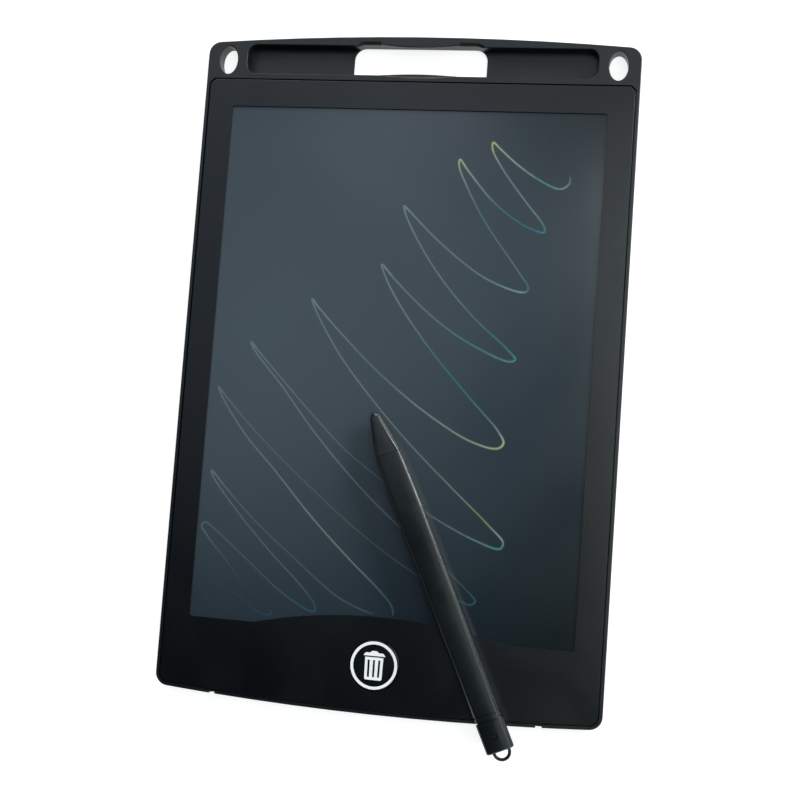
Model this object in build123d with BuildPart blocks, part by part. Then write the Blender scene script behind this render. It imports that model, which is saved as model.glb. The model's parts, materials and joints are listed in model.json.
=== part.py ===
from build123d import *
import os
from math import asin, cos, degrees, radians, sin, sqrt

# A hand-held LCD writing tablet with its stylus, piece by piece, in millimetres.
# The tablet lies on its back: +X to its right, +Y to its handle end, +Z out of its screen.
# The origin is the middle of its flat back.

# Tablet housing
tablet_width = 147.0
tablet_length = 225.0
end_bow = 2.8
corner_radius = 4.3
back_wall = 1.2
rim_width = 1.1
shelf_width = 2.0
back_edge_radius = 1.1
front_edge_radius = 0.35
cut_overrun = 2.0

# Front bezel, set into the housing behind a narrow seam
bezel_thickness = 1.3
seam_gap = 0.4
bezel_head_chamfer = 1.7
bezel_edge_radius = 0.2
side_frame = 10.0
top_frame = 9.7
window_corner_radius = 0.8
arch_width = 82.4
arch_rise = 5.3
arch_foot_radius = 25.0
lip_thickness = 0.45

# Writing film, laid up behind the window
film_border = 1.0
film_clearance = 0.25
tape_thickness = 0.1
front_sheet_thickness = 0.18
crystal_thickness = 0.04
rear_sheet_thickness = 0.18
backing_thickness = 0.08
foam_thickness = 1.0
tail_landing = 3.0

# Support ribs and bezel pegs
rib_thickness = 1.0
ribs_across = 5
ribs_along = 3
peg_radius = 0.9
peg_length = 2.0
peg_fit = 0.05
peg_boss_wall = 1.1
side_peg_pitch = 62.0
top_peg_inset = 37.5
foot_peg_inset = 13.5
foot_peg_drop = 11.1

# Handle, pen channel and lanyard holes in the head of the housing
channel_end_inset = 13.9
channel_width = 10.0
channel_depth = 4.0
channel_corner_radius = 3.2
head_strip = 1.9
slot_length = 45.4
slot_step = 0.6
slot_top_radius = 4.0
slot_bottom_radius = 1.5
handle_bar = 2.8
handle_round_share = 0.42
lanyard_hole_width = 6.2
lanyard_hole_margin = 0.1
lanyard_hole_inset = 7.3
lanyard_edge_gap = 1.7
front_rim_radius = 0.3
back_rim_radius = 0.8
nub_length = 26.6
lower_nub_reach = 1.2
lower_nub_drop = 0.4
upper_nub_reach = 0.85
upper_nub_height = 2.0
nub_edge_radius = 0.3
scoop_radius = 7.3
scoop_lift = 4.2
scoop_end_radius = 6.62

# Notches in the bottom edge for prising the bezel out
notch_width = 2.0
notch_depth = 0.6
notch_inset = 19.75

# Coin cell, its well and its contacts
cell_diameter = 20.0
cell_thickness = 1.6
cell_can_radius = 0.3
cell_gap = 0.1
cell_clearance = 0.3
cell_cap_diameter = 17.6
cell_cap_height = 0.15
well_wall = 1.0
well_top_drop = 0.1
contact_thickness = 0.2
contact_pad_length = 3.0
leaf_width = 3.0
leaf_inset = 0.5
leaf_rise = 0.5
leaf_rise_run = 2.0
leaf_dip_run = 3.0
leaf_tip_run = 2.5
leaf_tip_lift = 0.3
leaf_contact_offset = 1.0
clip_width = 2.4
clip_drop = 1.3

# Battery door and its screw
door_thickness = 1.0
door_recess = 0.1
door_gap = 0.3
door_seat_height = 1.4
door_margin = 1.1
door_boss_margin = 0.3
door_corner_radius = 2.0
door_tab_width = 3.0
door_tab_reach = 1.3
door_tab_thickness = 0.7
door_tab_root = 1.2
door_tab_spread = 16.0
door_tab_gap = 0.1
door_grip_width = 9.0
door_grip_pitch = 1.6
door_grip_count = 4
door_grip_groove = 0.6
door_grip_depth = 0.3
door_pad_radius = 2.0
door_pad_height = 0.6
door_screw_head_radius = 1.6
door_screw_head_height = 0.65
door_screw_head_inset = 0.15
door_screw_radius = 0.85
door_screw_tip_gap = 0.2
door_screw_fit = 0.25
door_boss_radius = 2.2
door_boss_drop = 0.15
door_boss_gap = 0.05
screw_slot_width = 0.35
screw_slot_depth = 0.3
screw_slot_length = 2.0

# Circuit board and its screws
board_width = 56.0
board_height = 13.9
board_thickness = 0.8
board_corner_radius = 0.8
board_top_drop = 2.0
board_boss_gap = 2.1
board_part_gap = 0.15
board_screw_radius = 0.7
board_screw_head_radius = 1.3
board_screw_head_height = 0.5
board_screw_length = 2.1
board_screw_fit = 0.05
board_boss_radius = 1.8
board_screw_edge = 2.8

# Erase button and the switch under it
button_radius = 8.15
button_gap = 0.25
button_film_gap = 0.25
button_top_wall = 0.9
button_skirt_wall = 1.2
button_flange = 0.9
button_flange_height = 0.55
button_play = 0.05
button_edge_radius = 0.2
button_post_radius = 1.5
switch_size = 4.5
switch_height = 0.55
switch_cover_thickness = 0.1
switch_corner_radius = 0.5
plunger_radius = 1.0
plunger_fit = 0.1
plunger_height = 0.6
plunger_sink = 0.2
touch_gap = 0.02

# Parts on the circuit board
blob_radius = 3.0
blob_height = 0.9
blob_round_share = 0.9
blob_board_inset = 17.3
inductor_size = 3.0
inductor_corner_radius = 0.5
inductor_height = 1.0
inductor_board_inset = 10.3
inductor_inset = 3.2
chip_length = 1.6
chip_width = 0.8
chip_height = 0.6
chip_pitch = 2.6
chip_inset = 2.2
resistor_height = 0.4
tail_width = 5.0
tail_thickness = 0.15
tail_pad = 3.0
tail_overlap = 2.6
tail_slope_inset = 1.2
tail_button_gap = 0.45
tail_leaf_gap = 2.7
blob_inset = 4.1

# Lock switch and its knob on the back
lock_board_inset = 5.8
lock_travel = 2.0
lock_body_length = 6.6
lock_body_width = 2.7
lock_body_height = 1.15
lock_lever_width = 1.2
lock_lever_thickness = 0.6
lock_lever_length = 3.5
lock_lever_reach = 2.2
lock_lever_play = 0.2
lock_window_depth = 1.6
knob_neck_length = 5.0
knob_neck_width = 3.0
knob_gap = 0.3
knob_flange_length = 10.4
knob_flange_width = 4.4
knob_flange_height = 0.7
knob_play = 0.05
knob_recess = 0.15
knob_board_gap = 0.4
knob_wall_gap = 1.3
knob_fork_wall = 0.9
knob_fork_play = 0.12
knob_fork_depth = 1.4
knob_grip_count = 3
knob_grip_pitch = 1.3
knob_grip_width = 0.5
knob_grip_depth = 0.25
knob_dish_margin = 1.4
knob_dish_depth = 0.4

# Stylus, lying on the bezel and the film
stylus_tip_x = -6.1
stylus_tip_rise = 97.6
stylus_turn = 25.3
stylus_rest_gap = 0.05
nib_length = 14.6
nib_tip_radius = 1.15
nib_waist_length = 7.2
nib_neck_length = 1.4
barrel_length = 87.3
barrel_width = 9.6
barrel_height = 7.0
barrel_crown = 0.3
barrel_ridge_radius = 1.2
tail_ridge_radius = 1.6
barrel_side_radius = 0.7
barrel_swell_length = 20.0
barrel_bore_radius = 2.0
nib_seam_groove = 0.15
spigot_fit = 0.04
spigot_length = 6.0
seam_groove_length = 0.6
seam_groove_depth = 0.55
ring_length = 1.3
sleeve_length = 9.7
sleeve_width = 9.2
sleeve_height = 6.1
sleeve_end_chamfer = 0.35
sleeve_hole_radius = 1.1
sleeve_hole_inset = 5.0
plug_length = 8.6
plug_width = 6.0
plug_height = 3.0
plug_inset = 0.4
plug_clearance = 0.1
plug_nub_radius = 0.8
plug_nub_drop = 0.8
loop_wire_radius = 0.52
loop_leg = 1.0

# Share of the tip's radius that is rounded, shares of the full section along the stylus, and of the
# width that the flat top takes there, and of the half height at which the widest edge lies
nib_round_share = 0.95
nib_neck_share = 0.34
nib_waist_share = 0.62
nib_seam_share = 0.88
barrel_rise_share = 0.97
barrel_end_share = 0.90
neck_top_share = 0.62
waist_top_share = 0.68
neck_edge_share = 0.15
waist_edge_share = 0.35
barrel_top_share = 0.83
barrel_edge_share = 0.63

# Heights worked out from the stack: door, cell and board below, then headroom and bezel
door_face_z = door_recess + door_thickness
cell_back_z = door_face_z + cell_gap
cell_front_z = cell_back_z + cell_thickness
board_front_z = cell_front_z
board_back_z = board_front_z - board_thickness
tallest_part = max(lock_body_height, inductor_height, blob_height)
bezel_back_z = board_front_z + tallest_part + board_part_gap
front_z = bezel_back_z + bezel_thickness
tape_top_z = front_z - lip_thickness
film_top_z = tape_top_z - tape_thickness
crystal_top_z = film_top_z - front_sheet_thickness
rear_sheet_top_z = crystal_top_z - crystal_thickness
backing_top_z = rear_sheet_top_z - rear_sheet_thickness
foam_top_z = backing_top_z - backing_thickness
rib_top_z = foam_top_z - foam_thickness
channel_floor_z = front_z - channel_depth
door_pad_z = door_face_z + door_pad_height
door_boss_z = bezel_back_z - door_boss_drop

# Places along the tablet: the head from its bar down, the foot from its wall up
half_width = tablet_width / 2
half_length = tablet_length / 2
side_end_y = half_length - end_bow
end_circle_radius = (half_width**2 + end_bow**2) / (2 * end_bow)
slot_height = channel_width + slot_step
slot_top_y = half_length - handle_bar
slot_y = slot_top_y - slot_height / 2
channel_bottom_y = slot_top_y - slot_height
channel_y = channel_bottom_y + channel_width / 2
pocket_top_y = channel_bottom_y - head_strip
cavity_top_y = pocket_top_y - shelf_width
window_top_y = pocket_top_y - top_frame
knob_bottom_y = rim_width + shelf_width + knob_wall_gap - half_length
knob_y = knob_bottom_y + knob_flange_width / 2
board_bottom_y = knob_bottom_y + knob_flange_width + knob_board_gap
board_top_y = board_bottom_y + board_height
board_y = (board_top_y + board_bottom_y) / 2
film_bottom_y = board_top_y + board_top_drop
window_bottom_y = film_bottom_y + film_border
film_top_y = window_top_y + film_border
film_length = film_top_y - film_bottom_y
film_centre_y = (film_bottom_y + film_top_y) / 2
rebate_top_y = film_top_y + film_clearance
flange_radius = button_radius + button_flange
button_y = film_bottom_y - button_film_gap - flange_radius
stylus_tip_y = stylus_tip_rise - half_length

# Places across the tablet, worked out from its sides and from the button outwards
window_width = tablet_width - 2 * side_frame
film_width = window_width + 2 * film_border
rebate_edge_x = film_width / 2 + film_clearance
cavity_edge_x = half_width - rim_width - shelf_width
channel_length = tablet_width - 2 * channel_end_inset
lanyard_hole_x = half_width - lanyard_hole_inset
lanyard_hole_height = channel_width - 2 * lanyard_hole_margin
handle_round = handle_bar * handle_round_share
notch_x = half_width - notch_inset
cell_radius = cell_diameter / 2
well_radius = cell_radius + cell_clearance
tail_x = flange_radius + tail_button_gap + tail_width / 2
board_left = -tail_x - tail_width / 2 - tail_leaf_gap - contact_pad_length
board_right = board_left + board_width
board_x = board_left + board_width / 2
door_boss_x = board_left - board_boss_gap - door_boss_radius
cell_x = door_boss_x - door_boss_radius - well_wall - well_radius
door_left = cell_x - well_radius - door_margin
door_width = door_boss_x + door_boss_radius + door_boss_margin - door_left
door_height = 2 * (well_radius + door_margin)
door_x = door_left + door_width / 2
tab_pocket_run = door_tab_reach + door_gap
tab_well_run = door_tab_root + door_tab_reach + 2 * door_gap
lock_x = board_right - lock_board_inset
lock_rest_x = lock_x - lock_travel / 2
blob_x = board_right - blob_board_inset
inductor_x = board_right - inductor_board_inset
lock_lever_z = board_front_z + lock_body_height / 2
lock_body_y = board_bottom_y + lock_body_width / 2
knob_flange_z = back_wall + knob_play


def bottom_edge_y(x, inset):
    """Height of the bowed bottom edge at x, moved in by inset."""
    centre_y = end_circle_radius - half_length
    return centre_y - sqrt((end_circle_radius - inset) ** 2 - x**2)


# The cell's well touches the inside of the bottom wall, and the lanyard holes follow the top edge
cell_y = bottom_edge_y(cell_x, rim_width + shelf_width) + well_radius + cell_clearance
lanyard_y = -bottom_edge_y(lanyard_hole_x, 0) - lanyard_edge_gap - lanyard_hole_height / 2


def tablet_outline(inset):
    """The tablet seen from the front: straight sides and bowed ends, moved in by inset."""
    with BuildSketch() as outline:
        with BuildLine():
            Line((-half_width, -side_end_y), (-half_width, side_end_y))
            ThreePointArc((-half_width, side_end_y), (0, half_length), (half_width, side_end_y))
            Line((half_width, side_end_y), (half_width, -side_end_y))
            ThreePointArc((half_width, -side_end_y), (0, -half_length), (-half_width, -side_end_y))
        make_face()
        fillet(outline.vertices(), corner_radius)
        if inset > 0:
            offset(amount=-inset)
    return outline.sketch


def panel_outline(inset):
    """The pocket that takes the bezel, moved in by inset, with clipped corners at the head."""
    low_y = -half_length - cut_overrun
    with BuildSketch() as outline:
        add(tablet_outline(rim_width + inset))
        with Locations((0, (pocket_top_y - inset + low_y) / 2)):
            Rectangle(tablet_width, pocket_top_y - inset - low_y, mode=Mode.INTERSECT)
        chamfer(outline.vertices().group_by(Axis.Y)[-1], bezel_head_chamfer)
    return outline.sketch


def cavity_outline():
    """The hollow inside the shelf that the bezel sits on."""
    low_y = -half_length - cut_overrun
    with BuildSketch() as outline:
        add(tablet_outline(rim_width + shelf_width))
        with Locations((0, (cavity_top_y + low_y) / 2)):
            Rectangle(tablet_width, cavity_top_y - low_y, mode=Mode.INTERSECT)
    return outline.sketch


def window_outline():
    """The window: a rectangle whose bottom edge arches up over the button."""
    half_window = window_width / 2
    half_arch = arch_width / 2
    with BuildSketch() as outline:
        with BuildLine():
            Line((half_arch, window_bottom_y), (half_window, window_bottom_y))
            Line((half_window, window_bottom_y), (half_window, window_top_y))
            Line((half_window, window_top_y), (-half_window, window_top_y))
            Line((-half_window, window_top_y), (-half_window, window_bottom_y))
            Line((-half_window, window_bottom_y), (-half_arch, window_bottom_y))
            ThreePointArc(
                (-half_arch, window_bottom_y),
                (0, window_bottom_y + arch_rise),
                (half_arch, window_bottom_y),
            )
        make_face()
        sides = outline.vertices().group_by(Axis.X)
        fillet(sides[0] + sides[-1], window_corner_radius)
        fillet(outline.vertices().filter_by_position(Axis.X, -half_arch, half_arch), arch_foot_radius)
    return outline.sketch


def film_outline(margin):
    """The rectangle that the film is cut to, grown by margin."""
    with BuildSketch() as outline:
        with Locations((0, film_centre_y)):
            Rectangle(film_width + 2 * margin, film_length + 2 * margin)
    return outline.sketch


def peg_places():
    """Where the bezel's pegs stand: along both sides, at the head and at the foot."""
    side_x = (rebate_edge_x + cavity_edge_x) / 2
    top_x = half_width - top_peg_inset
    top_y = (rebate_top_y + cavity_top_y) / 2
    foot_x = half_width - foot_peg_inset
    foot_y = window_bottom_y - foot_peg_drop
    places = [(x, film_centre_y + row * side_peg_pitch) for x in (-side_x, side_x) for row in (-1, 0, 1)]
    places += [(x, top_y) for x in (-top_x, top_x)]
    places += [(x, foot_y) for x in (-foot_x, foot_x)]
    return places


def board_screw_places():
    """The two screws, near opposite corners of the board."""
    left = (board_left + board_screw_edge, board_y)
    right = (board_right - board_screw_edge, board_top_y - board_screw_edge)
    return [left, right]


def door_outline(margin):
    """The battery door, grown by margin."""
    with BuildSketch() as outline:
        with Locations((door_x, cell_y)):
            RectangleRounded(
                door_width + 2 * margin, door_height + 2 * margin, door_corner_radius + margin
            )
    return outline.sketch


def lens_outline(reach, wall_y):
    """A shallow lens that stands reach out of a slot wall at wall_y."""
    with BuildSketch() as outline:
        with BuildLine():
            Line((-nub_length / 2, wall_y), (nub_length / 2, wall_y))
            ThreePointArc((nub_length / 2, wall_y), (0, wall_y + reach), (-nub_length / 2, wall_y))
        make_face()
    return outline.sketch


# Rear shell: back, rim, head with the handle, and everything moulded inside it
with BuildPart() as rear_shell:
    with BuildSketch():
        add(tablet_outline(0))
    extrude(amount=front_z)
    fillet(rear_shell.faces().sort_by(Axis.Z)[0].edges(), back_edge_radius)
    fillet(rear_shell.faces().sort_by(Axis.Z)[-1].edges(), front_edge_radius)
    with BuildSketch(Plane.XY.offset(bezel_back_z)):
        add(panel_outline(0))
    extrude(amount=bezel_thickness + cut_overrun, mode=Mode.SUBTRACT)
    with BuildSketch(Plane.XY.offset(back_wall)):
        add(cavity_outline())
    extrude(amount=bezel_back_z - back_wall, mode=Mode.SUBTRACT)
    # Support ribs under the film
    with BuildSketch(Plane.XY.offset(back_wall)):
        with Locations((0, film_centre_y)):
            with GridLocations(film_width, film_length / ribs_across, 1, ribs_across):
                Rectangle(tablet_width, rib_thickness)
            with GridLocations(film_width / ribs_along, film_length, ribs_along, 1):
                Rectangle(rib_thickness, film_length)
        add(cavity_outline(), mode=Mode.INTERSECT)
    extrude(amount=rib_top_z - back_wall)
    # Bosses for the bezel's pegs and the board's screws
    with BuildSketch(Plane.XY.offset(back_wall)):
        with Locations(*peg_places()):
            Circle(peg_radius + peg_fit + peg_boss_wall)
    extrude(amount=bezel_back_z - back_wall)
    with BuildSketch(Plane.XY.offset(back_wall)):
        with Locations(*board_screw_places()):
            Circle(board_boss_radius)
    extrude(amount=board_back_z - back_wall)
    # Seat of the battery door, well of the cell, and the boss for the door's screw
    with BuildSketch(Plane.XY.offset(back_wall)):
        add(door_outline(door_gap))
    extrude(amount=door_face_z + door_seat_height - back_wall)
    with BuildSketch(Plane.XY.offset(back_wall)):
        with Locations((cell_x, cell_y)):
            Circle(well_radius + well_wall)
    extrude(amount=cell_front_z - well_top_drop - back_wall)
    with BuildSketch(Plane.XY.offset(back_wall)):
        with Locations((door_boss_x, cell_y)):
            Circle(door_boss_radius)
    extrude(amount=door_boss_z - back_wall)
    with BuildSketch():
        add(door_outline(door_gap))
    extrude(amount=door_face_z, mode=Mode.SUBTRACT)
    with BuildSketch():
        with Locations((cell_x, cell_y)):
            Circle(well_radius)
    extrude(amount=bezel_back_z, mode=Mode.SUBTRACT)
    with BuildSketch():
        with Locations((door_boss_x, cell_y)):
            Circle(door_pad_radius + door_gap)
    extrude(amount=door_pad_z + door_boss_gap, mode=Mode.SUBTRACT)
    with BuildSketch():
        with Locations((door_boss_x, cell_y)):
            Circle(door_screw_radius + door_screw_fit)
    extrude(amount=bezel_back_z, mode=Mode.SUBTRACT)
    # Room for the door's tabs, which tip over the edge of the back wall
    with BuildSketch(Plane.XY.offset(back_wall)):
        with Locations((door_left - tab_pocket_run / 2, cell_y)):
            with GridLocations(door_width, door_tab_spread, 1, 2):
                Rectangle(tab_pocket_run, door_tab_width + 2 * door_gap)
    extrude(amount=bezel_back_z - back_wall, mode=Mode.SUBTRACT)
    with BuildSketch():
        with Locations((door_left - door_gap + tab_well_run / 2, cell_y)):
            with GridLocations(door_width, door_tab_spread, 1, 2):
                Rectangle(tab_well_run, door_tab_width + 2 * door_gap)
    extrude(amount=bezel_back_z, mode=Mode.SUBTRACT)
    # Slot and finger dish of the lock knob
    with BuildSketch():
        with Locations((lock_x, knob_y)):
            RectangleRounded(
                knob_neck_length + lock_travel + 2 * (knob_gap + knob_dish_margin),
                knob_neck_width + 2 * (knob_gap + knob_dish_margin),
                knob_dish_margin,
            )
    extrude(amount=knob_dish_depth, mode=Mode.SUBTRACT)
    with BuildSketch():
        with Locations((lock_x, knob_y)):
            Rectangle(knob_neck_length + lock_travel + 2 * knob_gap, knob_neck_width + 2 * knob_gap)
    extrude(amount=back_wall, mode=Mode.SUBTRACT)
    # Bores for pegs and screws
    with BuildSketch(Plane.XY.offset(bezel_back_z)):
        with Locations(*peg_places()):
            Circle(peg_radius + peg_fit)
    extrude(amount=-peg_length - peg_fit, mode=Mode.SUBTRACT)
    with BuildSketch(Plane.XY.offset(board_back_z)):
        with Locations(*board_screw_places()):
            Circle(board_screw_radius + board_screw_fit)
    extrude(amount=board_thickness - board_screw_length - board_screw_fit, mode=Mode.SUBTRACT)
    # Pen channel, with its handle slot right through
    with BuildSketch(Plane.XY.offset(channel_floor_z)):
        with Locations((0, channel_y)):
            RectangleRounded(channel_length, channel_width, channel_corner_radius)
    extrude(amount=channel_depth + cut_overrun, mode=Mode.SUBTRACT)
    with BuildSketch() as slot_sketch:
        with Locations((0, slot_y)):
            Rectangle(slot_length, slot_height)
        fillet(slot_sketch.vertices().group_by(Axis.Y)[-1], slot_top_radius)
        fillet(slot_sketch.vertices().group_by(Axis.Y)[0], slot_bottom_radius)
    extrude(amount=front_z + cut_overrun, mode=Mode.SUBTRACT)
    # Lanyard holes and prising notches
    with BuildSketch():
        with Locations((0, lanyard_y)):
            with GridLocations(2 * lanyard_hole_x, lanyard_hole_height, 2, 1):
                Ellipse(lanyard_hole_width / 2, lanyard_hole_height / 2)
    extrude(amount=front_z, mode=Mode.SUBTRACT)
    with BuildSketch():
        with Locations((0, bottom_edge_y(notch_x, 0))):
            with GridLocations(2 * notch_x, notch_depth, 2, 1):
                Rectangle(notch_width, 2 * notch_depth)
    extrude(amount=front_z, mode=Mode.SUBTRACT)
    # Rounded handle bar, and soft rims on the channel and the lanyard holes
    fillet(rear_shell.edges().filter_by(GeomType.ELLIPSE).group_by(Axis.Z)[0], back_rim_radius)
    fillet(rear_shell.edges().filter_by(GeomType.ELLIPSE).group_by(Axis.Z)[-1], front_rim_radius)
    bar_edges = rear_shell.edges().filter_by(Axis.X).filter_by_position(Axis.Y, channel_y, half_length)
    fillet(bar_edges.group_by(Axis.Y)[-1], handle_round)
    rim_edges = rear_shell.edges().group_by(Axis.Z)[-1]
    rim_edges = rim_edges.filter_by_position(Axis.Y, channel_bottom_y - seam_gap, slot_top_y)
    rim_edges = rim_edges.filter_by_position(Axis.X, -channel_length / 2, channel_length / 2)
    fillet(rim_edges, front_rim_radius)
    # Nubs that snap over the stylus, the lower one scooped out where the barrel rolls in
    with BuildSketch():
        add(lens_outline(lower_nub_reach, channel_bottom_y))
    extrude(amount=front_z - lower_nub_drop)
    with BuildSketch(Plane.XY.offset(front_z - upper_nub_height)):
        add(lens_outline(-upper_nub_reach, slot_top_y))
        with Locations((0, slot_top_y + handle_round / 2)):
            Rectangle(nub_length, handle_round)
    extrude(amount=upper_nub_height)
    nub_edges = rear_shell.edges().group_by(Axis.Z)[-1]
    nub_edges = nub_edges.filter_by_position(Axis.Y, slot_top_y - upper_nub_reach, slot_top_y)
    nub_edges = nub_edges.filter_by_position(Axis.X, -nub_length / 2, nub_length / 2)
    fillet(nub_edges, nub_edge_radius)
    with BuildSketch(Plane.XY.offset(front_z + scoop_lift)):
        with BuildLine():
            Line((-nub_length / 2, channel_y), (-nub_length / 2, channel_y - scoop_end_radius))
            ThreePointArc(
                (-nub_length / 2, channel_y - scoop_end_radius),
                (0, channel_y - scoop_radius),
                (nub_length / 2, channel_y - scoop_end_radius),
            )
            Line((nub_length / 2, channel_y - scoop_end_radius), (nub_length / 2, channel_y))
            Line((nub_length / 2, channel_y), (-nub_length / 2, channel_y))
        make_face()
    scoop_axis = Axis((0, channel_y, front_z + scoop_lift), (1, 0, 0))
    revolve(axis=scoop_axis, revolution_arc=90, mode=Mode.SUBTRACT)
rear_shell.part.label = "rear_shell"

# Front bezel: a thin plate with the window, the button hole and its pegs
with BuildPart() as front_bezel:
    with BuildSketch(Plane.XY.offset(bezel_back_z)):
        add(panel_outline(seam_gap))
    extrude(amount=bezel_thickness)
    fillet(front_bezel.faces().sort_by(Axis.Z)[-1].edges(), bezel_edge_radius)
    with BuildSketch(Plane.XY.offset(bezel_back_z)):
        add(window_outline())
    extrude(amount=bezel_thickness, mode=Mode.SUBTRACT)
    with BuildSketch(Plane.XY.offset(bezel_back_z)):
        add(film_outline(film_clearance))
    extrude(amount=bezel_thickness - lip_thickness, mode=Mode.SUBTRACT)
    with BuildSketch(Plane.XY.offset(bezel_back_z)):
        with Locations((0, button_y)):
            Circle(button_radius + button_gap)
    extrude(amount=bezel_thickness, mode=Mode.SUBTRACT)
    with BuildSketch(Plane.XY.offset(bezel_back_z)):
        with Locations(*peg_places()):
            Circle(peg_radius)
    extrude(amount=-peg_length)
front_bezel.part.label = "front_bezel"

# Film stack behind the window: tape frame, two sheets with the liquid crystal, backing, foam
with BuildPart() as window_tape_frame:
    with BuildSketch(Plane.XY.offset(film_top_z)):
        add(film_outline(0))
        add(window_outline(), mode=Mode.SUBTRACT)
    extrude(amount=tape_thickness)
window_tape_frame.part.label = "window_tape_frame"

with BuildPart() as film_front_sheet:
    with BuildSketch(Plane.XY.offset(crystal_top_z)):
        add(film_outline(0))
    extrude(amount=front_sheet_thickness)
film_front_sheet.part.label = "film_front_sheet"

with BuildPart() as liquid_crystal_layer:
    with BuildSketch(Plane.XY.offset(rear_sheet_top_z)):
        add(film_outline(0))
    extrude(amount=crystal_thickness)
liquid_crystal_layer.part.label = "liquid_crystal_layer"

with BuildPart() as film_rear_sheet:
    with BuildSketch(Plane.XY.offset(backing_top_z)):
        add(film_outline(0))
    extrude(amount=rear_sheet_thickness)
film_rear_sheet.part.label = "film_rear_sheet"


def backing_outline():
    """The film's rectangle, cut short at the foot where the connector tails land."""
    with BuildSketch() as outline:
        with Locations((0, film_centre_y + tail_landing / 2)):
            Rectangle(film_width, film_length - tail_landing)
    return outline.sketch


with BuildPart() as black_backing_sheet:
    with BuildSketch(Plane.XY.offset(foam_top_z)):
        add(backing_outline())
    extrude(amount=backing_thickness)
black_backing_sheet.part.label = "black_backing_sheet"

with BuildPart() as support_foam:
    with BuildSketch(Plane.XY.offset(rib_top_z)):
        add(backing_outline())
    extrude(amount=foam_thickness)
support_foam.part.label = "support_foam"

# Circuit board with the parts soldered to it
with BuildPart() as circuit_board:
    with BuildSketch(Plane.XY.offset(board_back_z)):
        with Locations((board_x, board_y)):
            RectangleRounded(board_width, board_height, board_corner_radius)
        with Locations(*board_screw_places()):
            Circle(board_screw_radius + board_screw_fit, mode=Mode.SUBTRACT)
    extrude(amount=board_thickness)
circuit_board.part.label = "circuit_board"

with BuildPart() as board_screws:
    with BuildSketch(Plane.XY.offset(board_front_z)):
        with Locations(*board_screw_places()):
            Circle(board_screw_head_radius)
    extrude(amount=board_screw_head_height)
    with BuildSketch(Plane.XY.offset(board_front_z)):
        with Locations(*board_screw_places()):
            Circle(board_screw_radius)
    extrude(amount=-board_screw_length)
board_screws.part.label = "board_screws"

with BuildPart() as controller_blob:
    with BuildSketch(Plane.XY.offset(board_front_z)):
        with Locations((blob_x, board_bottom_y + blob_inset)):
            Circle(blob_radius)
    extrude(amount=blob_height)
    fillet(controller_blob.faces().sort_by(Axis.Z)[-1].edges(), blob_height * blob_round_share)
controller_blob.part.label = "controller_blob"

with BuildPart() as boost_inductor:
    with BuildSketch(Plane.XY.offset(board_front_z)):
        with Locations((inductor_x, board_top_y - inductor_inset)):
            RectangleRounded(inductor_size, inductor_size, inductor_corner_radius)
    extrude(amount=inductor_height)
boost_inductor.part.label = "boost_inductor"

with BuildPart() as chip_capacitors:
    with BuildSketch(Plane.XY.offset(board_front_z)):
        with Locations((blob_x - blob_radius - chip_pitch, board_bottom_y + chip_inset)):
            with GridLocations(chip_pitch, chip_pitch, 1, 2):
                Rectangle(chip_length, chip_width)
    extrude(amount=chip_height)
chip_capacitors.part.label = "chip_capacitors"

with BuildPart() as chip_resistors:
    with BuildSketch(Plane.XY.offset(board_front_z)):
        with Locations((inductor_x + inductor_size + chip_pitch / 2, board_top_y - chip_inset)):
            with GridLocations(chip_pitch, chip_pitch, 1, 2):
                Rectangle(chip_length, chip_width)
    extrude(amount=resistor_height)
chip_resistors.part.label = "chip_resistors"


def tail_profile():
    """A connector tail from the side: up under the film, a slope, and down on the board."""
    high_z = backing_top_z - tail_thickness
    film_end = film_bottom_y + tail_overlap
    slope_top = film_bottom_y + tail_slope_inset
    with BuildSketch() as profile:
        with BuildLine():
            Polyline(
                (film_end, high_z),
                (slope_top, high_z),
                (board_top_y, board_front_z),
                (board_top_y - tail_pad, board_front_z),
                (board_top_y - tail_pad, board_front_z + tail_thickness),
                (board_top_y + tail_thickness, board_front_z + tail_thickness),
                (slope_top + tail_thickness, high_z + tail_thickness),
                (film_end, high_z + tail_thickness),
                close=True,
            )
        make_face()
    return profile.sketch


with BuildPart() as film_connector_tails:
    for centre_x in (-tail_x, tail_x):
        with BuildSketch(Plane.YZ.offset(centre_x - tail_width / 2)):
            add(tail_profile())
        extrude(amount=tail_width)
film_connector_tails.part.label = "film_connector_tails"

# Coin cell and its two contacts
with BuildPart() as coin_cell:
    with BuildSketch(Plane.XY.offset(cell_back_z)):
        with Locations((cell_x, cell_y)):
            Circle(cell_radius)
    extrude(amount=cell_thickness - cell_cap_height)
    fillet(coin_cell.edges().filter_by(GeomType.CIRCLE), cell_can_radius)
    with BuildSketch(Plane.XY.offset(cell_front_z - cell_cap_height)):
        with Locations((cell_x, cell_y)):
            Circle(cell_cap_diameter / 2)
    extrude(amount=cell_cap_height)
coin_cell.part.label = "coin_cell"

leaf_y = board_top_y - leaf_inset - leaf_width / 2
leaf_low_x = cell_x + leaf_contact_offset
leaf_stations = [
    (board_left + contact_pad_length, board_front_z),
    (board_left, board_front_z),
    (board_left - leaf_rise_run, board_front_z + leaf_rise),
    (leaf_low_x + leaf_dip_run, board_front_z + leaf_rise),
    (leaf_low_x, cell_front_z),
    (leaf_low_x - leaf_tip_run, cell_front_z + leaf_tip_lift),
]
with BuildPart() as battery_negative_contact:
    with BuildSketch(Plane.XZ.offset(-leaf_y - leaf_width / 2)):
        with BuildLine():
            upper_stations = [(x, z + contact_thickness) for x, z in reversed(leaf_stations)]
            Polyline(*leaf_stations, *upper_stations, close=True)
        make_face()
    extrude(amount=leaf_width)
battery_negative_contact.part.label = "battery_negative_contact"

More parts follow.
